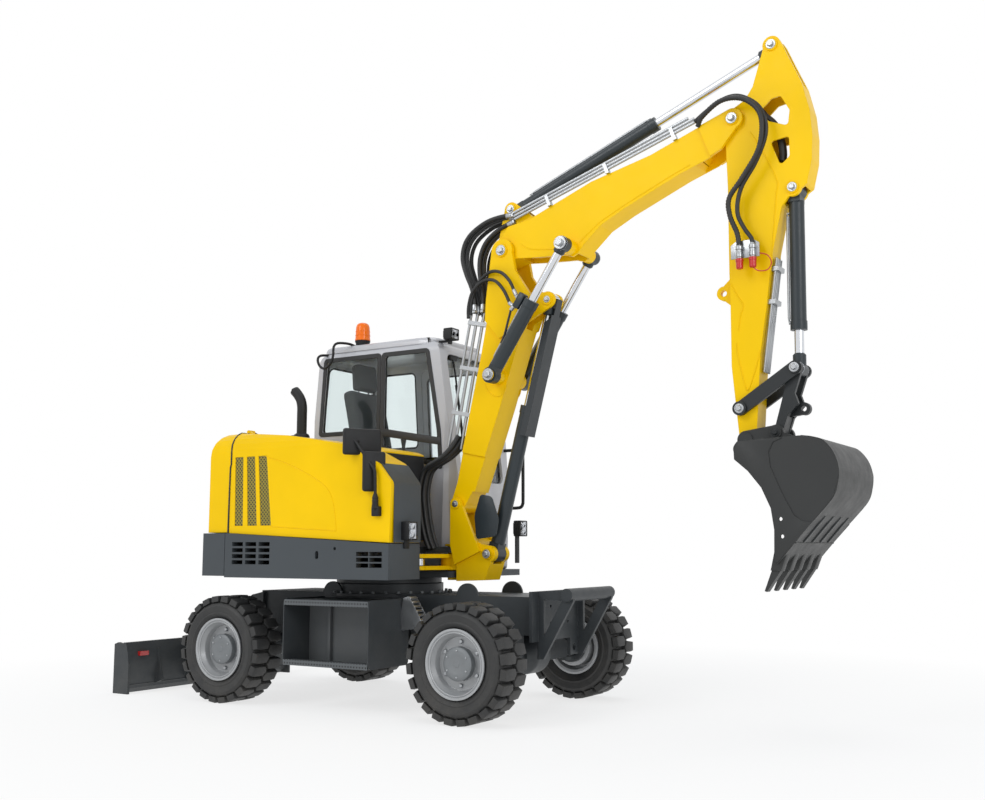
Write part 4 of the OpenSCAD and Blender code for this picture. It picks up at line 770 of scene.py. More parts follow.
def roof_cap():
    """The crowned roof panel over the cab."""
    outline_face([(-1000, 92), (60, 96), (150, 130), (168, 250), (168, 720), (150, 826), (60, 858),
                  (-1000, 858)], 60)
    crown = spot(-420, 475, 2900)
    bpy.ops.transform.translate(value=spot(0, 0, ROOF - 22))
    for lift, factor in ((22, 1.0), (20, 0.985), (12, 0.97), (6, 0.92)):
        pull(z=lift)
        bpy.ops.transform.resize(value=(factor, factor, 1), center_override=crown)
    dressed(close_mesh(), "roof_cap", cab_silver, "upper")


def front_wiper():
    """The wiper on the front window: its motor box, arm and blade."""
    motor = slab((70, 120, 60), (190, 300, 2740), 14, 3)
    arm = tube(way((205, 300, 2740), (236, 290, 2640), (284, 270, 2400), (330, 250, 2160)), 8, 24)
    blade = tube(way((262, 276, 2500), (306, 262, 2280), (346, 248, 2060)), 11, 24)
    dressed(joined(motor, arm, blade), "front_wiper", trim_black, "upper")


def window_gaskets():
    """Black rubber frames on the cab's right wall, and the bar across its windows."""
    rear = [(-1010, 2118), (-353, 2118), (-353, 2794), (-968, 2794)]
    front = [(-347, 1985), (282, 1792), (258, 2115), (134, 2794), (-347, 2794)]
    for name, outline in (("rear", rear), ("front", front)):
        border = frame_plate(outline, 36, 6, 34)
        dressed(leaned(border), f"window_gasket_{name}", gasket_rubber, "upper")
    bar = plate([(-349, 2096), (268, 1990), (262, 2052), (-349, 2162)], 9, 0, 3)
    dressed(leaned(bar), "window_bar", gasket_rubber, "upper")


def leaned(piece):
    """A plate drawn in XY laid on the cab's right wall, which leans in a little."""
    lean = math.atan2(WALL_LEAN, ROOF)
    rise, out = math.cos(lean), math.sin(lean)
    piece.matrix_world = Matrix(((1, 0, 0, MIDDLE), (0, out, -rise, CAB_RIGHT / 1000), (0, rise, out, 0),
                                 (0, 0, 0, 1)))
    return settle(piece)


def window_seal(node, body):
    """A round seal along the edges of every pane of a glass node."""
    fresh()
    piece = bpy.data.objects.new(node + "_seal", nodes[node].data.copy())
    bpy.context.scene.collection.objects.link(piece)
    open_mesh(piece)
    bpy.ops.mesh.remove_doubles(threshold=0.00005)
    bpy.ops.mesh.select_all(action="DESELECT")
    bpy.ops.mesh.select_mode(type="EDGE")
    bpy.ops.mesh.edges_select_sharp(sharpness=math.radians(55))
    bpy.ops.mesh.select_all(action="INVERT")
    bpy.ops.mesh.delete(type="EDGE")
    bpy.ops.mesh.select_all(action="SELECT")
    bpy.ops.mesh.delete(type="ONLY_FACE")
    bpy.ops.mesh.select_mode(type="VERT")
    bpy.ops.object.mode_set(mode="OBJECT")
    bpy.ops.object.convert(target="CURVE")
    piece = bpy.context.object
    piece.data.bevel_depth = SEAL_RADIUS / 1000
    piece.data.bevel_resolution = 1
    bpy.ops.object.convert(target="MESH")
    dressed(bpy.context.object, node + "_seal", gasket_rubber, body)


def window_seals():
    """Seals round the cab's panes and the door's."""
    window_seal("cab_glass", "upper")
    window_seal("door_glass", "door")


def mirror_head(wide, high):
    """A mirror's shell with its glass set into the face towards the seat."""
    deep, border, recess = 46, 30, 5
    shell = block((wide, deep, high), 20, 4)
    open_mesh(shell)
    pick_faces(shell, lambda middle, normal: normal.y > 0.95)
    bpy.ops.mesh.inset(thickness=0.006)
    pull(y=-recess)
    close_mesh()
    x, z = wide / 2 - border, high / 2 - border
    glass = plate([(-x, -z), (x, -z), (x, z), (-x, z)], 3, 20)
    face = (deep / 2 - recess - 0.5) / 1000
    glass.matrix_world = Matrix(((1, 0, 0, 0), (0, 0, 1, face), (0, 1, 0, 0), (0, 0, 0, 1)))
    return shell, settle(glass)


def mirrors():
    """Two mirrors on one bent arm, with a rubber boot at its foot."""
    y = MIRROR_Y
    arm = tube(route(y, (392, 1440), (391, 1560), (387, 1690), (380, 1730), (350, 1770), (190, 1962)), 12, 20)
    clamps = [tube(way((214, y, 1944), (216, y + 62, 1944)), 9),
              tube(way((380, y, 1722), (347, y + 44, 1722)), 9)]
    foot = slab((64, 96, 70), (392, y + 40, 1435), 8, 3)
    boot = turned([(1455, 26), (1500, 22), (1510, 25), (1520, 21), (1530, 24), (1545, 18), (1560, 14)], 24)
    arm = joined(arm, *clamps, foot, put(boot, (391.5, y, 0)))
    dressed(arm, "mirror_arm", trim_black, "upper")
    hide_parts("mirrors")
    for name, place, wide, high in (("wide", (218, -892, 1944), 290, 195),
                                    ("tall", (345, -912, 1722), 170, 290)):
        for piece, part, finish in zip(mirror_head(wide, high), ("shell", "glass"), (trim_black, chrome)):
            tilted(piece, place, MIRROR_TURN, "Z")
            dressed(piece, f"mirror_{name}_{part}", finish, "upper")


def lamp_head(deep, wide, high):
    """A work lamp facing +X: a finned black housing with a recess, its reflectors and its lens."""
    recess, fins, border = 16, 8, 20
    housing = block((deep, wide, high), 9, 3)
    open_mesh(housing)
    pick_faces(housing, lambda middle, normal: normal.x > 0.95)
    bpy.ops.mesh.inset(thickness=0.004)
    pull(x=-recess)
    pick_faces(housing, lambda middle, normal: normal.x < -0.95)
    bpy.ops.mesh.inset(thickness=0.012)
    pull(x=-fins)
    close_mesh()
    back = block((3, wide - border - 2, high - border - 2), 1, 1)
    back.location = ((deep / 2 - recess + 1.5) / 1000, 0, 0)
    cups = [settle(back)]
    rim = min(wide, high) * 0.2
    for k in (-1, 1):
        cup = turned([(0, 8), (1, 17), (13, rim), (15, rim)], 24)
        y, z = (0, k * high * 0.22) if high >= wide else (k * wide * 0.22, 0)
        cups.append(moved(cup, Vector((deep / 2 - recess, y, z)) / 1000, (1, 0, 0)))
    lens = block((4, wide - border, high - border), 1.5, 2)
    lens.location = (deep / 2000 - 0.003, 0, 0)
    return housing, joined(*cups), settle(lens)


def work_lamps():
    """The lamp on the right of the nose, the one on the left of the deck, and the roof lamp."""
    parts = (("housing", trim_black), ("cups", reflector_silver), ("lens", lamp_glass))
    for name, place, size in (("right", (540, -742, 1298), (74, 122, 132)),
                              ("left", (509, 890, 1338), (70, 122, 132)),
                              ("roof", (262, 200, 2912), (84, 118, 96))):
        for piece, (part, finish) in zip(lamp_head(*size), parts):
            dressed(put(piece, place), f"lamp_{name}_{part}", finish, "upper")
    brackets = [slab(size, place, 4, 2) for size, place in (
        ((13, 60, 170), (511, -735, 1256)), ((13, 60, 330), (476, 890, 1215)),
        ((16, 50, 60), (250, 200, 2862)), ((130, 50, 14), (190, 200, 2860)))]
    bracket = dressed(joined(*brackets), "lamp_brackets", trim_black, "upper")
    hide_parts("work_lamps")


def beacon():
    """The warning beacon: a black foot with a rubber ring, and an amber dome with ribs."""
    foot = turned([(2822, 44), (2900, 44), (2906, 58), (2924, 60), (2934, 66), (2942, 66)], 40)
    dome = turned([(2941, 60), (2946, 66), (2956, 66), (2958, 64), (2985, 63), (2987, 65), (2991, 65),
                   (2993, 62.5), (3020, 61.5), (3022, 63.5), (3026, 63.5), (3028, 61), (3060, 59),
                   (3082, 52), (3094, 40), (3100, 22)], 48)
    for piece, name, finish, slot in ((foot, "beacon_foot", trim_black, "plastic"),
                                      (dome, "beacon_dome", beacon_orange, "orange")):
        dressed(put(piece, BEACON), name, finish, "upper")
    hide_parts("beacon")


def exhaust():
    """The stack, bent to the rear, with an open oblique end."""
    end = (-935, 2468)
    stack = tube(route(STACK_Y, (-850, 2030), (-850, 2250), (-851, 2330), (-868, 2390), (-905, 2440), end),
                 41, 16, 0, 6)
    open_mesh(stack)
    mouth = spot(end[0], STACK_Y, end[1])
    pick_faces(stack, lambda middle, normal: (middle / 1000 - mouth).length < 0.02)
    bpy.ops.transform.resize(value=(0.06, 1, 1), center_override=mouth)
    bpy.ops.mesh.inset(thickness=0.005)
    pull(x=40, z=-30)
    close_mesh()
    collar = put(turned([(2035, 66), (2085, 66), (2100, 58), (2108, 46)], 40), (-850, STACK_Y, 0))
    piece = joined(stack, collar)
    dressed(piece, "exhaust_stack", trim_black, "upper")
    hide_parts("exhaust")


def grab_rails():
    """The handrail beside the door, and the bent loop at the cab's rear right corner."""
    rail = tube(route(RAIL_Y, (325, 1510), (470, 1510), (516, 1518), (532, 1545), (535, 1590), (535, 1920),
                      (532, 1965), (516, 1992), (470, 2000), (325, 2000)), 14, 16)
    loop = tube(way((-690, 160, 2890), (-722, 86, 2910), (-772, 0, 2906), (-796, -20, 2872),
                    (-801, -20, 2800), (-826, -20, 2736), (-889, -20, 2696), (-945, -20, 2720),
                    (-970, -20, 2778), (-962, 4, 2815), (-946, 92, 2830)), 11, 14)
    piece = dressed(joined(rail, loop), "grab_rail_tubes", trim_black, "upper")
    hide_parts("grab_rails")


# Inside the cab

def pad(size, crown, channel=0):
    """A stuffed block: broad faces crowned, sides drawn in between the corners, channels sewn across."""
    roundness, channel_wide, drawn_long, drawn_wide = 0.32, 0.06, 0.04, 0.03
    piece = block(size, min(size) * roundness, 3)
    open_mesh(piece)
    bpy.ops.mesh.subdivide(number_cuts=3)
    bpy.ops.object.mode_set(mode="OBJECT")
    half = [length / 2000 for length in size]
    for vertex in piece.data.vertices:
        across, along = vertex.co.x / half[0], vertex.co.y / half[1]
        swell = max(0, 1 - across ** 2) * max(0, 1 - along ** 2)
        sewn = math.exp(-((abs(along) - 0.5) / channel_wide) ** 2) * channel if channel else 0
        vertex.co.z += math.copysign(swell * crown / 1000 - sewn / 1000 * (1 - across ** 2), vertex.co.z)
        vertex.co.x *= 1 - drawn_long * (1 - along ** 2)
        vertex.co.y *= 1 - drawn_wide * (1 - across ** 2)
    grab(piece)
    bpy.ops.object.modifier_add(type="SUBSURF")
    rounder = piece.modifiers[-1]
    rounder.levels = rounder.render_levels = 1
    bpy.ops.object.modifier_apply(modifier=rounder.name)
    return piece


def seat():
    """The driver's seat: suspension box, padded cushion, leaning back and headrest on two stays."""
    y = SEAT_Y
    base = slab((380, 340, 620), (-420, y, 1352), 20, 3)
    shell = slab((430, 430, 60), (-455, y, 1690), 18, 3)
    stays = [tube(way((-868, y + s * 70, 2490), (-852, y + s * 70, 2600)), 8) for s in (-1, 1)]
    base = joined(base, shell, *stays)
    dressed(base, "seat_base", trim_black, "upper")
    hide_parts("seat")
    cushion = tilted(pad((540, 480, 130), 22, 8), (-450, y, 1765), -3)
    back = tilted(pad((720, 470, 120), 18, 8), (-785, y, 2185), -102.5)
    head = tilted(pad((240, 260, 105), 12), (-850, y, 2665), -94)
    for piece, name in ((cushion, "seat_cushion"), (back, "seat_back"), (head, "seat_headrest")):
        dressed(piece, name, seat_cloth, "upper", 60)


def steering_wheel():
    """The wheel on its column: a ring on three spokes, with a hub."""
    fresh()
    bpy.ops.mesh.primitive_torus_add(major_radius=0.17, minor_radius=0.014, major_segments=48,
                                     minor_segments=12)
    ring = bpy.context.object
    spokes = []
    for k in range(3):
        x, y = math.cos(math.tau * k / 3), math.sin(math.tau * k / 3)
        spokes.append(tube([(0, 0, -8), (90 * x, 90 * y, -6), (168 * x, 168 * y, 0)], 9))
    hub = turned([(-18, 34), (2, 46), (8, 44), (12, 30)], 32)
    return tilted(joined(ring, hub, *spokes), (68, SEAT_Y, 1786), -20)


def console():
    """Armrest boxes with joysticks in their boots, the steering column and its wheel."""
    parts = []
    for side in (-1, 1):
        y = SEAT_Y + side * 320
        stick = turned([(1930, 46), (1940, 40), (1946, 44), (1956, 34), (1962, 36), (1974, 22), (2000, 14),
                        (2020, 16), (2060, 24), (2090, 25), (2106, 20), (2112, 10)], 24)
        parts += [slab((500, 110, 895), (-370, y, 1488), 22, 3), slab((340, 90, 40), (-430, y, 1945), 16, 3),
                  put(stick, (-180, y, 0))]
    column = tube(route(SEAT_Y, (130, 1044), (100, 1400), (70, 1772)), 34)
    piece = joined(column, steering_wheel(), *parts)
    dressed(piece, "driver_controls", trim_black, "upper")
    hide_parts("console")


# Hoses and lines

def hose_run(name, points, radius, rib=0.0):
    """A rubber hose along a smooth path, with its place moved into its mesh."""
    step = radius * 0.5 if rib else 22
    piece = tube(points, radius, step, rib)
    finished(piece, name, hose_rubber, 60)
    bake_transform(piece)


def fitting(start, end, radius):
    """A crimped steel end on a hose: a collar and its nut, from one place to the other."""
    start, end = Vector(start), Vector(end)
    length = (end - start).length
    sleeve = turned([(0, radius * 0.8), (length * 0.3, radius * 0.8), (length * 0.32, radius * 1.25),
                     (length * 0.94, radius * 1.25), (length, radius * 1.1)], 20)
    nut = turned([(length * 0.05, radius * 1.35), (length * 0.28, radius * 1.35)], 6)
    return moved(joined(sleeve, nut), start / 1000, end - start)


def knee_hoses():
    """The hoses that arch over the boom's knee, from the lower boom's pipes to the upper boom's."""
    outer = [(690, 2985), (688, 3070), (660, 3190), (608, 3310), (574, 3430), (590, 3540), (655, 3626),
             (790, 3698), (930, 3722), (1050, 3716)]
    inner = [(752, 2985), (756, 3090), (738, 3200), (722, 3320), (728, 3430), (772, 3530), (850, 3600),
             (950, 3648), (1050, 3672)]
    ends = {"lower_boom": [], "upper_boom": []}
    for kind, path, ys in (("outer", outer, (-108, -74, -40, 6)), ("inner", inner, (-92, -56, -20, 30))):
        for k, y in enumerate(ys):
            sink = 10 * (k % 2)
            points = route(y, *[(x + sink, z - sink) for x, z in path])
            hose_run(f"knee_hose_{kind}_{k}", points, KNEE_HOSE)
            for body, end in (("lower_boom", points[:2]), ("upper_boom", points[:-3:-1])):
                start, toward = Vector(end[0]), Vector(end[1])
                tip = start + (toward - start).normalized() * FITTING_LONG
                ends[body].append(fitting(start, tip, KNEE_HOSE))
    for body, pieces in ends.items():
        dressed(joined(*pieces), f"knee_fittings_{body}", zinc, body)


def nose_hoses():
    """Two auxiliary hoses that loop over the boom's nose to the couplers on the stick, one of them ribbed."""
    ribbed = [(2560, -118, 4120), (2607, -150, 4172), (2755, -188, 4241), (2900, -196, 4228),
              (3010, -196, 4140), (3047, -196, 4020), (3015, -194, 3840), (2896, -190, 3665),
              (2800, -186, 3540), (2800, -182, 3420), (2846, -178, 3290), (2857, -178, 3200)]
    smooth = [(2540, -118, 4160), (2644, -146, 4210), (2780, -166, 4262), (2900, -170, 4250),
              (3030, -172, 4140), (3066, -172, 3970), (2995, -172, 3780), (2880, -172, 3600),
              (2850, -172, 3440), (2895, -174, 3320), (2945, -176, 3240), (2949, -178, 3190)]
    for name, points, radius, rib in (("ribbed", ribbed, 19, 0.14), ("smooth", smooth, 15, 0.0)):
        hose_run(f"nose_hose_{name}", way(*points), radius,
                 rib)


def foot_hoses():
    """The wrapped bundle from the deck beside the swing post up to the lower boom's pipes."""
    deck = [(300, 1165), (262, 1250), (232, 1360), (214, 1470), (203, 1560), (206, 1640), (232, 1745),
            (262, 1790), (300, FOOT_HOSE_Z)]
    foot = [(300, FOOT_HOSE_Z), (360, 1848), (410, 1880), (480, 1950), (536, 2040)]
    crossing = 200
    runs = ((-96, -150, 0), (-60, -122, 22), (-26, -98, 14), (6, -72, 30))
    for k, (pipe_y, loop_y, shift) in enumerate(runs):
        for name, path, bodies, start, end in (
                ("deck", deck, ("upper", "king"), (206, loop_y, 1640), (296, loop_y, 1812)),
                ("foot", foot, ("king", "lower_boom"), (310, loop_y, 1822), (520, pipe_y, 2014))):
            points = []
            for x, z in path:
                share = max(0, min(1, (z - FOOT_HOSE_Z) / crossing))
                points.append((x + shift, loop_y + (pipe_y - loop_y) * share, z))
            hose_run(f"{name}_hose_{k}", way(*points), 20, 0.1)


def small_hoses():
    """Short hoses from the lower boom's pipes over to the valve block on the right adjusting cylinder."""
    upper = [(655, -112, 2975), (668, -122, 3080), (730, -140, 3200), (850, -166, 3276), (970, -190, 3262),
             (1066, -214, 3180), (1120, -226, 3084)]
    lower = [(632, -112, 2950), (640, -122, 3040), (690, -142, 3150), (800, -166, 3216), (920, -192, 3202),
             (1020, -220, 3110), (1084, -228, 2990)]
    for name, points in (("upper", upper), ("lower", lower)):
        hose_run(f"valve_hose_{name}", way(*points), VALVE_HOSE)
    thin = tube(way((1092, -232, 2950), (1070, -240, 2860), (1040, -240, 2760), (1006, -236, 2700)), 9, 16)
    dressed(thin, "valve_hose_thin", hose_rubber, "adjust_barrel")
    body = tilted(block((120, 62, 56), 6, 2), (1172, -230, 3006), -56.3)
    dressed(body, "valve_block", cylinder_grey, "adjust_barrel")
    ends = [fitting(*way(*pair), VALVE_HOSE) for pair in (
        ((1150, -230, 3030), (1112, -226, 3100)), ((1128, -230, 2962), (1074, -228, 3004)),
        ((1120, -231, 2978), (1090, -232, 2944)))]
    dressed(joined(*ends), "valve_fittings", zinc, "adjust_barrel")


def couplers():
    """The auxiliary couplers on the stick: bracket, two quick couplings and their red caps on tethers."""
    bracket = plate([(2790, 3118), (2990, 3118), (2990, 3212), (2950, 3240), (2830, 3240),
                     (2790, 3212)], 10, 0, 2)
    metal, caps = [stood_up(bracket, -150), slab((120, 78, 14), (2890, -118, 3150))], []
    for x in (2857, 2949):
        coupling = turned([(3104, 17), (3120, 17), (3122, 22), (3150, 22), (3152, 18), (3172, 18), (3174, 24),
                           (3196, 24), (3200, 17), (3210, 15)], 24)
        cap = turned([(3040, 19), (3046, 24), (3088, 24), (3092, 27), (3108, 27), (3111, 24)], 24)
        metal.append(put(coupling, (x, COUPLER_Y, 0)))
        caps.append(put(cap, (x, COUPLER_Y, 0)))
    dressed(joined(*metal), "coupler_bracket", zinc, "stick")
    tether = tube(way((2949, -180, 3044), (2990, -190, 3010), (3050, -186, 3010), (3070, -160, 3060),
                      (3040, -140, 3120), (2988, -156, 3140)), 4, 14)
    dressed(joined(*caps, tether), "coupler_caps", cap_red, "stick")


def cylinder_line(name, base, eye, y, offset, start, stop, body, radius=9):
    """A steel line along a barrel, bent into the barrel at both ends."""
    foot = Vector(base)
    along = (Vector(eye) - foot).normalized()
    away = Vector((-along.y, along.x)) * offset
    places = []
    for reach, out in ((start, 0.45), (start + 12, 0.9), (start + 40, 1), ((start + stop) / 2, 1),
                       (stop - 40, 1), (stop - 12, 0.9), (stop, 0.45)):
        place = foot + along * reach + away * out
        places.append((place.x, y, place.y))
    dressed(tube(way(*places), radius, 20), name, zinc, body)


def cylinder_lines():
    """The lines on the arm's barrels."""
    cylinder_line("stick_cylinder_line", STICK_BASE, STICK_EYE, -8, 59, 170, 1250, "stick_barrel", 10)
    cylinder_line("bucket_cylinder_line", BUCKET_BASE, LINK_PIN, -22, -58, 150, 920, "bucket_barrel")
    for side, word in SIDES:
        cylinder_line(f"adjust_cylinder_line_{word}", ADJUST_BASE, ADJUST_EYE, side * ADJUST_Y, 62, 120, 600,
                      "adjust_barrel", 8)


def rod_eye(name, base, eye, y, half, reach, rod, body, neck_end=62):
    """The painted eye on a rod's end, with its neck."""
    ring = turned([(-half, reach - 3), (-half + 3, reach), (half - 3, reach), (half, reach - 3)], 40)
    ring = moved(ring, spot(eye[0], y, eye[1]), (0, 1, 0))
    along = Vector((base[0] - eye[0], 0, base[1] - eye[1])).normalized()
    neck = turned([(reach * 0.6, rod + 12), (reach + neck_end - 12, rod + 12),
                   (reach + neck_end - 4, rod + 4), (reach + neck_end, rod + 1)], 32)
    neck = moved(neck, spot(eye[0], y, eye[1]), along)
    dressed(joined(ring, neck), name, cylinder_grey, body)


def rod_eyes():
    """Painted eyes on the rods of the arm."""
    for side, word in SIDES:
        rod_eye(f"adjust_eye_{word}", ADJUST_BASE, ADJUST_EYE, side * ADJUST_Y, 36.5, 55.5, 32, "adjust_rod",
                24)
    rod_eye("lift_eye", LIFT_BASE, LIFT_EYE, 0, 44, 53, 34, "lift_rod")
    rod_eye("stick_eye", STICK_BASE, STICK_EYE, 0, 40, 53, 32, "stick_rod")
    rod_eye("bucket_eye", BUCKET_BASE, LINK_PIN, 0, 51, 47, 32, "bucket_rod")


def weld_lines(name, lines, half, body, step=24):
    """Weld beads on both sides of a box section, along (x, z) lines on its plates."""
    for side, word in SIDES:
        beads = [tube(route(side * half, *line), WELD_BEAD, step) for line in lines]
        piece = joined(*beads) if len(beads) > 1 else beads[0]
        dressed(piece, f"{name}_{word}", yellow_paint, body)


def boom_welds():
    """Weld lines along the upper boom's lower edge, and round the adjusting boss on the lower boom."""
    weld_lines("upper_boom_welds", [
        [(1107, 3481), (1176, 3436), (1280, 3415), (1399, 3401)],
        [(1576, 3388), (1666, 3468), (1776, 3549), (1874, 3598), (1999, 3657), (2153, 3722), (2348, 3804),
         (2489, 3856)]], UPPER_BOOM_SIDE, "upper_boom")
    weld_lines("lower_boom_weld", [[(784, 2430), (820, 2363), (895, 2318), (955, 2341), (976, 2397)]],
               LOWER_BOOM_SIDE, "lower_boom", 16)


def stick_welds():
    """Weld lines along the stick's thicker plate, and round its tapered end."""
    weld_lines("stick_welds", [
        [(2926, 4018), (2958, 3963), (3022, 3842), (3084, 3696), (3107, 3612), (3096, 3560), (3082, 3429),
         (3062, 3233), (3048, 3090), (3036, 3025)],
        [(2759, 2968), (2804, 2882), (2843, 2811), (2826, 2760), (2816, 2711), (2806, 2640)],
        [(2790, 2553), (2796, 2457), (2818, 2361), (2838, 2262), (2852, 2230), (2868, 2240), (2907, 2342),
         (2940, 2444), (2953, 2490)]], STICK_SIDE, "stick")


def window_hose():
    """The thick hose inside the stick that shows in its two windows."""
    hose = tube(route(-20, (2960, 4215), (3012, 4135), (3078, 4060), (3118, 3950), (3132, 3860),
                      (3128, 3790)), 27, 20)
    dressed(hose, "window_hose", hose_rubber, "stick")


# Bucket

def from_tip(*places):
    """Places on the bucket, given from the pin at the stick's end."""
    return [(TIP[0] + x, TIP[1] + z) for x, z in places]


def drilled(piece, place, radius):
    """A round hole through the piece, across the machine."""
    drill = moved(turned([(-40, radius), (40, radius)], 28), place, (0, 1, 0))
    grab(piece)
    bpy.ops.object.modifier_add(type="BOOLEAN")
    cut = piece.modifiers[-1]
    cut.object, cut.operation, cut.solver = drill, "DIFFERENCE", "EXACT"
    bpy.ops.object.modifier_apply(modifier=cut.name)
    bpy.data.objects.remove(drill)


def bucket_cheeks():
    """The thicker cheek along the front edge of both bucket sides, with two bolt holes."""
    edge = from_tip((24, -148), (111, -226), (195, -333), (253, -464), (271, -600), (265, -795), (284, -800))
    inner = [(3362, 1334), (3302, 1340), (3249, 1376), (3185, 1499), (3108, 1681), (3098, 1776), (3130, 1838),
             (3190, 1862), (2904, 1852), (2872, 1800)]
    for side, word in SIDES:
        cheek = plate(edge + inner, 7, 0, 2)
        stood_up(cheek, side * (BUCKET_HALF - 0.5), side)
        for x, z in from_tip((313, -533), (320, -641)):
            drilled(cheek, spot(x, side * BUCKET_HALF, z), 12)
        dressed(cheek, f"bucket_cheek_{word}", bucket_black, "bucket")


def bucket_back():
    """The rolled plate round the bucket's back, in one smooth curve."""
    bend = from_tip((500, -562), (543, -518), (642, -405), (673, -320), (681, -229), (655, -133), (594, -54),
                    (528, -27), (455, -15))
    outside = [(place.x, place.y) for place in smooth_path([(x, z, 0) for x, z in bend], 14)]
    middle = Vector(from_tip((470, -260))[0])
    inside = [tuple(Vector(place) + (middle - Vector(place)).normalized() * 13)
              for place in reversed(outside)]
    skin = stood_up(plate(outside + inside, 2 * BUCKET_HALF - 3), BUCKET_HALF - 1.5)
    dressed(skin, "bucket_back", bucket_black, "bucket")


def bucket_strips():
    """Wear strips under the bucket's floor, and the weld where its lip begins."""
    low, high = [Vector(place) for place in from_tip((283, -809), (640, -403))]
    along = (high - low).normalized()
    slope = -math.degrees(math.atan2(along.y, along.x))
    middle, bead = low + along * 288, low + along * 172
    strips = [tilted(block((215, 34, 18), 5, 2), (middle.x, y, middle.y), slope)
              for y in (-270, -90, 90, 270)]
    dressed(joined(*strips), "bucket_strips", link_black, "bucket")
    weld = tube(way(*[(bead.x, y, bead.y) for y in range(-424, 425, 53)]), 5, 10, 0.3)
    dressed(weld, "bucket_weld", bucket_black, "bucket")


def tooth_sockets():
    """The adapters that hold the teeth on the lip."""
    shape = from_tip((338, -742), (258, -716), (232, -828), (226, -852), (292, -856))
    pitch = (2 * BUCKET_HALF - 2 * SOCKET_EDGE) / (TEETH - 1)
    sockets = []
    for k in range(TEETH):
        middle = -BUCKET_HALF + SOCKET_EDGE + k * pitch
        sockets.append(stood_up(plate(shape, SOCKET_WIDE, 0, 6), middle + SOCKET_WIDE / 2))
    dressed(joined(*sockets), "tooth_sockets", bucket_black, "bucket")


# Chassis

def slew_bolts():
    """The ring of bolts that holds the slewing ring on the chassis."""
    bolts = []
    pattern = turned([(829, 15), (832, 15), (833, 12), (845, 12), (848, 9)], 6)
    for k in range(SLEW_BOLTS):
        angle = math.tau * k / SLEW_BOLTS
        x, y = SLEW_X + SLEW_RADIUS * math.cos(angle), SLEW_RADIUS * math.sin(angle)
        bolts.append(put(twin(pattern), (x, y, 0)))
    bpy.data.objects.remove(pattern)
    dressed(joined(*bolts), "slew_bolts", hub_grey, "chassis")


def wheel_chock():
    """A pressed wheel chock with slats, hung between the right step and the wheel."""
    cheek = plate([(348, 574), (516, 600), (532, 640), (470, 740), (412, 826), (362, 812), (340, 700)], 3, 10)
    sides = [stood_up(twin(cheek), y) for y in (-472, -560)]
    bpy.data.objects.remove(cheek)
    slats = []
    for k in range(CHOCK_SLATS):
        share = k / (CHOCK_SLATS - 1)
        place = (418 + 104 * share, CHOCK_Y, 812 - 186 * share)
        slats.append(tilted(block((14, 92, 24), 4, 2), place, -60))
    web = slab((150, 88, 6), (430, CHOCK_Y, 604), 2, 1)
    dressed(joined(*sides, *slats, web), "wheel_chock", zinc, "chassis")


def step_cheek(x, side):
    """The end plate of a step box, with its corners rounded."""
    cheek = plate([(470, 322), (STEP_EDGE, 322), (STEP_EDGE, 806), (470, 806)], 8, 34)
    cheek.matrix_world = Matrix(((0, 0, 1, spot(x, 0, 0).x), (side, 0, 0, 0), (0, 1, 0, 0), (0, 0, 0, 1)))
    open_mesh(settle(cheek))
    return close_mesh()


def step_boxes():
    """The open step boxes on both sides of the chassis: end plates, two shelves and a paler back."""
    parts = []
    for side, word in SIDES:
        parts += [step_cheek(x, side) for x in (-455, 337)]
        parts += [slab((STEP_LONG, 478, 10), (STEP_X, side * (STEP_EDGE - 240), z), 2, 1) for z in (330, 790)]
        back = slab((STEP_LONG, 8, 452), (STEP_X, side * 660, 560), 2, 1)
        rib = slab((30, 40, 452), (-230, side * 676, 560), 4, 2)
        dressed(joined(back, rib), f"step_back_{word}", step_grey, "chassis")
    boxes = dressed(joined(*parts), "step_boxes", frame_grey, "chassis")
    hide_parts("side_steps")


def step_treads():
    """Punched treads along the front edges of the step boxes."""
    for side, word in SIDES:
        strips = []
        for z in (342, 776):
            strips += [slab((STEP_LONG, 5, 40), (STEP_X, side * (STEP_EDGE + 0.5), z), 1.5, 1),
                       slab((STEP_LONG, 60, 5), (STEP_X, side * (STEP_EDGE - 30), z + 19), 1.5, 1)]
        dressed(joined(*strips), f"step_treads_{word}", punched_steel, "chassis")


def hose_guard():
    """The guard plate beside the swing post."""
    guard = plate([(724, 1240), (900, 1262), (922, 1392), (862, 1560), (760, 1581), (706, 1420)], 8, 24, 2)
    stood_up(guard, -128)
    dressed(guard, "hose_guard", cylinder_grey, "king")


def door_handle():
    """The door's pull on the left side."""
    pull_bar = tube(way((205, 950, 1780), (205, 968, 1790), (205, 971, 1840), (205, 971, 1960),
                        (205, 968, 2010), (205, 950, 2020)), 11, 14)
    dressed(pull_bar, "door_handle", trim_black, "door")


PIECES = (
    pin_ends, wheels, grille_mesh, hood_crease, window_gaskets, window_seals, mirrors, work_lamps,
    beacon, exhaust, seat, console, knee_hoses, nose_hoses, foot_hoses, small_hoses, couplers,
    cylinder_lines, bucket_cheeks, bucket_back, bucket_strips, tooth_sockets, slew_bolts, rocker_caps,
    grab_rails, boom_welds, stick_welds, window_hose, wheel_chock, step_boxes, step_treads, hose_guard,
    rod_eyes, front_panels, hood_seam, roof_cap, front_wiper, door_handle)
for build in PIECES:
    build()


# Stage, light and camera

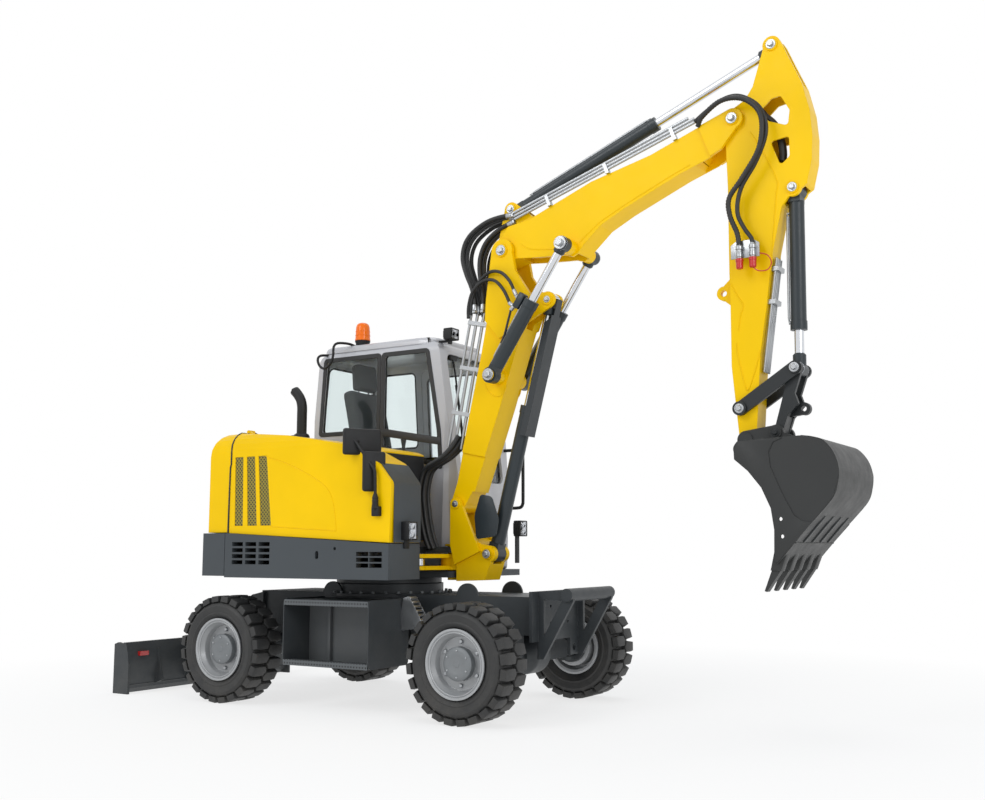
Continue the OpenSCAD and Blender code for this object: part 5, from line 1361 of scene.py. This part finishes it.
def studio_floor():
    """A pale floor that fades into the white backdrop, and keeps the shadow."""
    fresh()
    bpy.ops.mesh.primitive_plane_add(size=120)
    floor = bpy.context.object
    floor.name = "studio_floor"
    made, tree, shader = blank("studio_floor")
    wire(tree, shader, {"Base Color": (0.97, 0.97, 0.97, 1), "Roughness": 0.9, "Specular IOR Level": 0.1})
    far = add(tree, "VectorMath", {0: own_places(tree)}, operation="LENGTH").outputs["Value"]
    white = add(tree, "Emission", {"Color": (1, 1, 1, 1), "Strength": 1.0})
    fade = remap(tree, far, 2.4, 6.0, 0.72)
    mixed = add(tree, "MixShader", {0: fade, 1: shader.outputs[0], 2: white.outputs[0]})
    wire(tree, tree.nodes["Material Output"], {"Surface": mixed.outputs[0]})
    floor.data.materials.append(made)


def studio_world():
    """An even, faintly blue room for light, seen as plain white."""
    world = bpy.data.worlds.new("studio")
    bpy.context.scene.world = world
    world.use_nodes = True
    tree = world.node_tree
    room = wire(tree, tree.nodes["Background"], {"Color": (0.9, 0.95, 1.0, 1), "Strength": 0.55})
    white = add(tree, "Background", {"Color": (1, 1, 1, 1), "Strength": 1.0})
    rays = add(tree, "LightPath").outputs
    direct = calc(tree, "MAXIMUM", rays["Is Camera Ray"], rays["Is Glossy Ray"])
    seen = calc(tree, "MAXIMUM", direct, rays["Is Transmission Ray"])
    mixed = add(tree, "MixShader", {0: seen, 1: room.outputs[0], 2: white.outputs[0]})
    wire(tree, tree.nodes["World Output"], {"Surface": mixed.outputs[0]})


def soft_lamp(name, place, aim, size, watts):
    """A square lamp with soft light, turned to its aim."""
    bpy.ops.object.light_add(type="AREA", location=place)
    lamp = bpy.context.object
    lamp.name = name
    lamp.data.size = size
    lamp.data.energy = watts
    lamp.rotation_euler = (Vector(aim) - Vector(place)).to_track_quat("-Z", "Y").to_euler()


def photo_camera():
    """The camera at the photograph's view."""
    place, rise, turn = spot(5392.3, -7417.9, 1177.9), 7.399, 31.847
    lens, film_wide = 41.559, 36.0
    bpy.ops.object.camera_add(location=place, rotation=(math.radians(90 + rise), 0, math.radians(turn)))
    camera = bpy.context.object
    camera.name = "photo_camera"
    camera.data.lens = lens
    camera.data.sensor_width = film_wide
    bpy.context.scene.camera = camera


studio_floor()
studio_world()
soft_lamp("key", (-6.0, -16.0, 13.0), (0, 0, 1.5), 9.0, 1090)
soft_lamp("front", (17.0, -10.0, 9.0), (0.5, 0, 1.5), 8.0, 820)
soft_lamp("top", (1.0, 3.0, 20.0), (0, 0, 1.0), 10.0, 560)
photo_camera()
bpy.context.scene.view_settings.view_transform = "Standard"
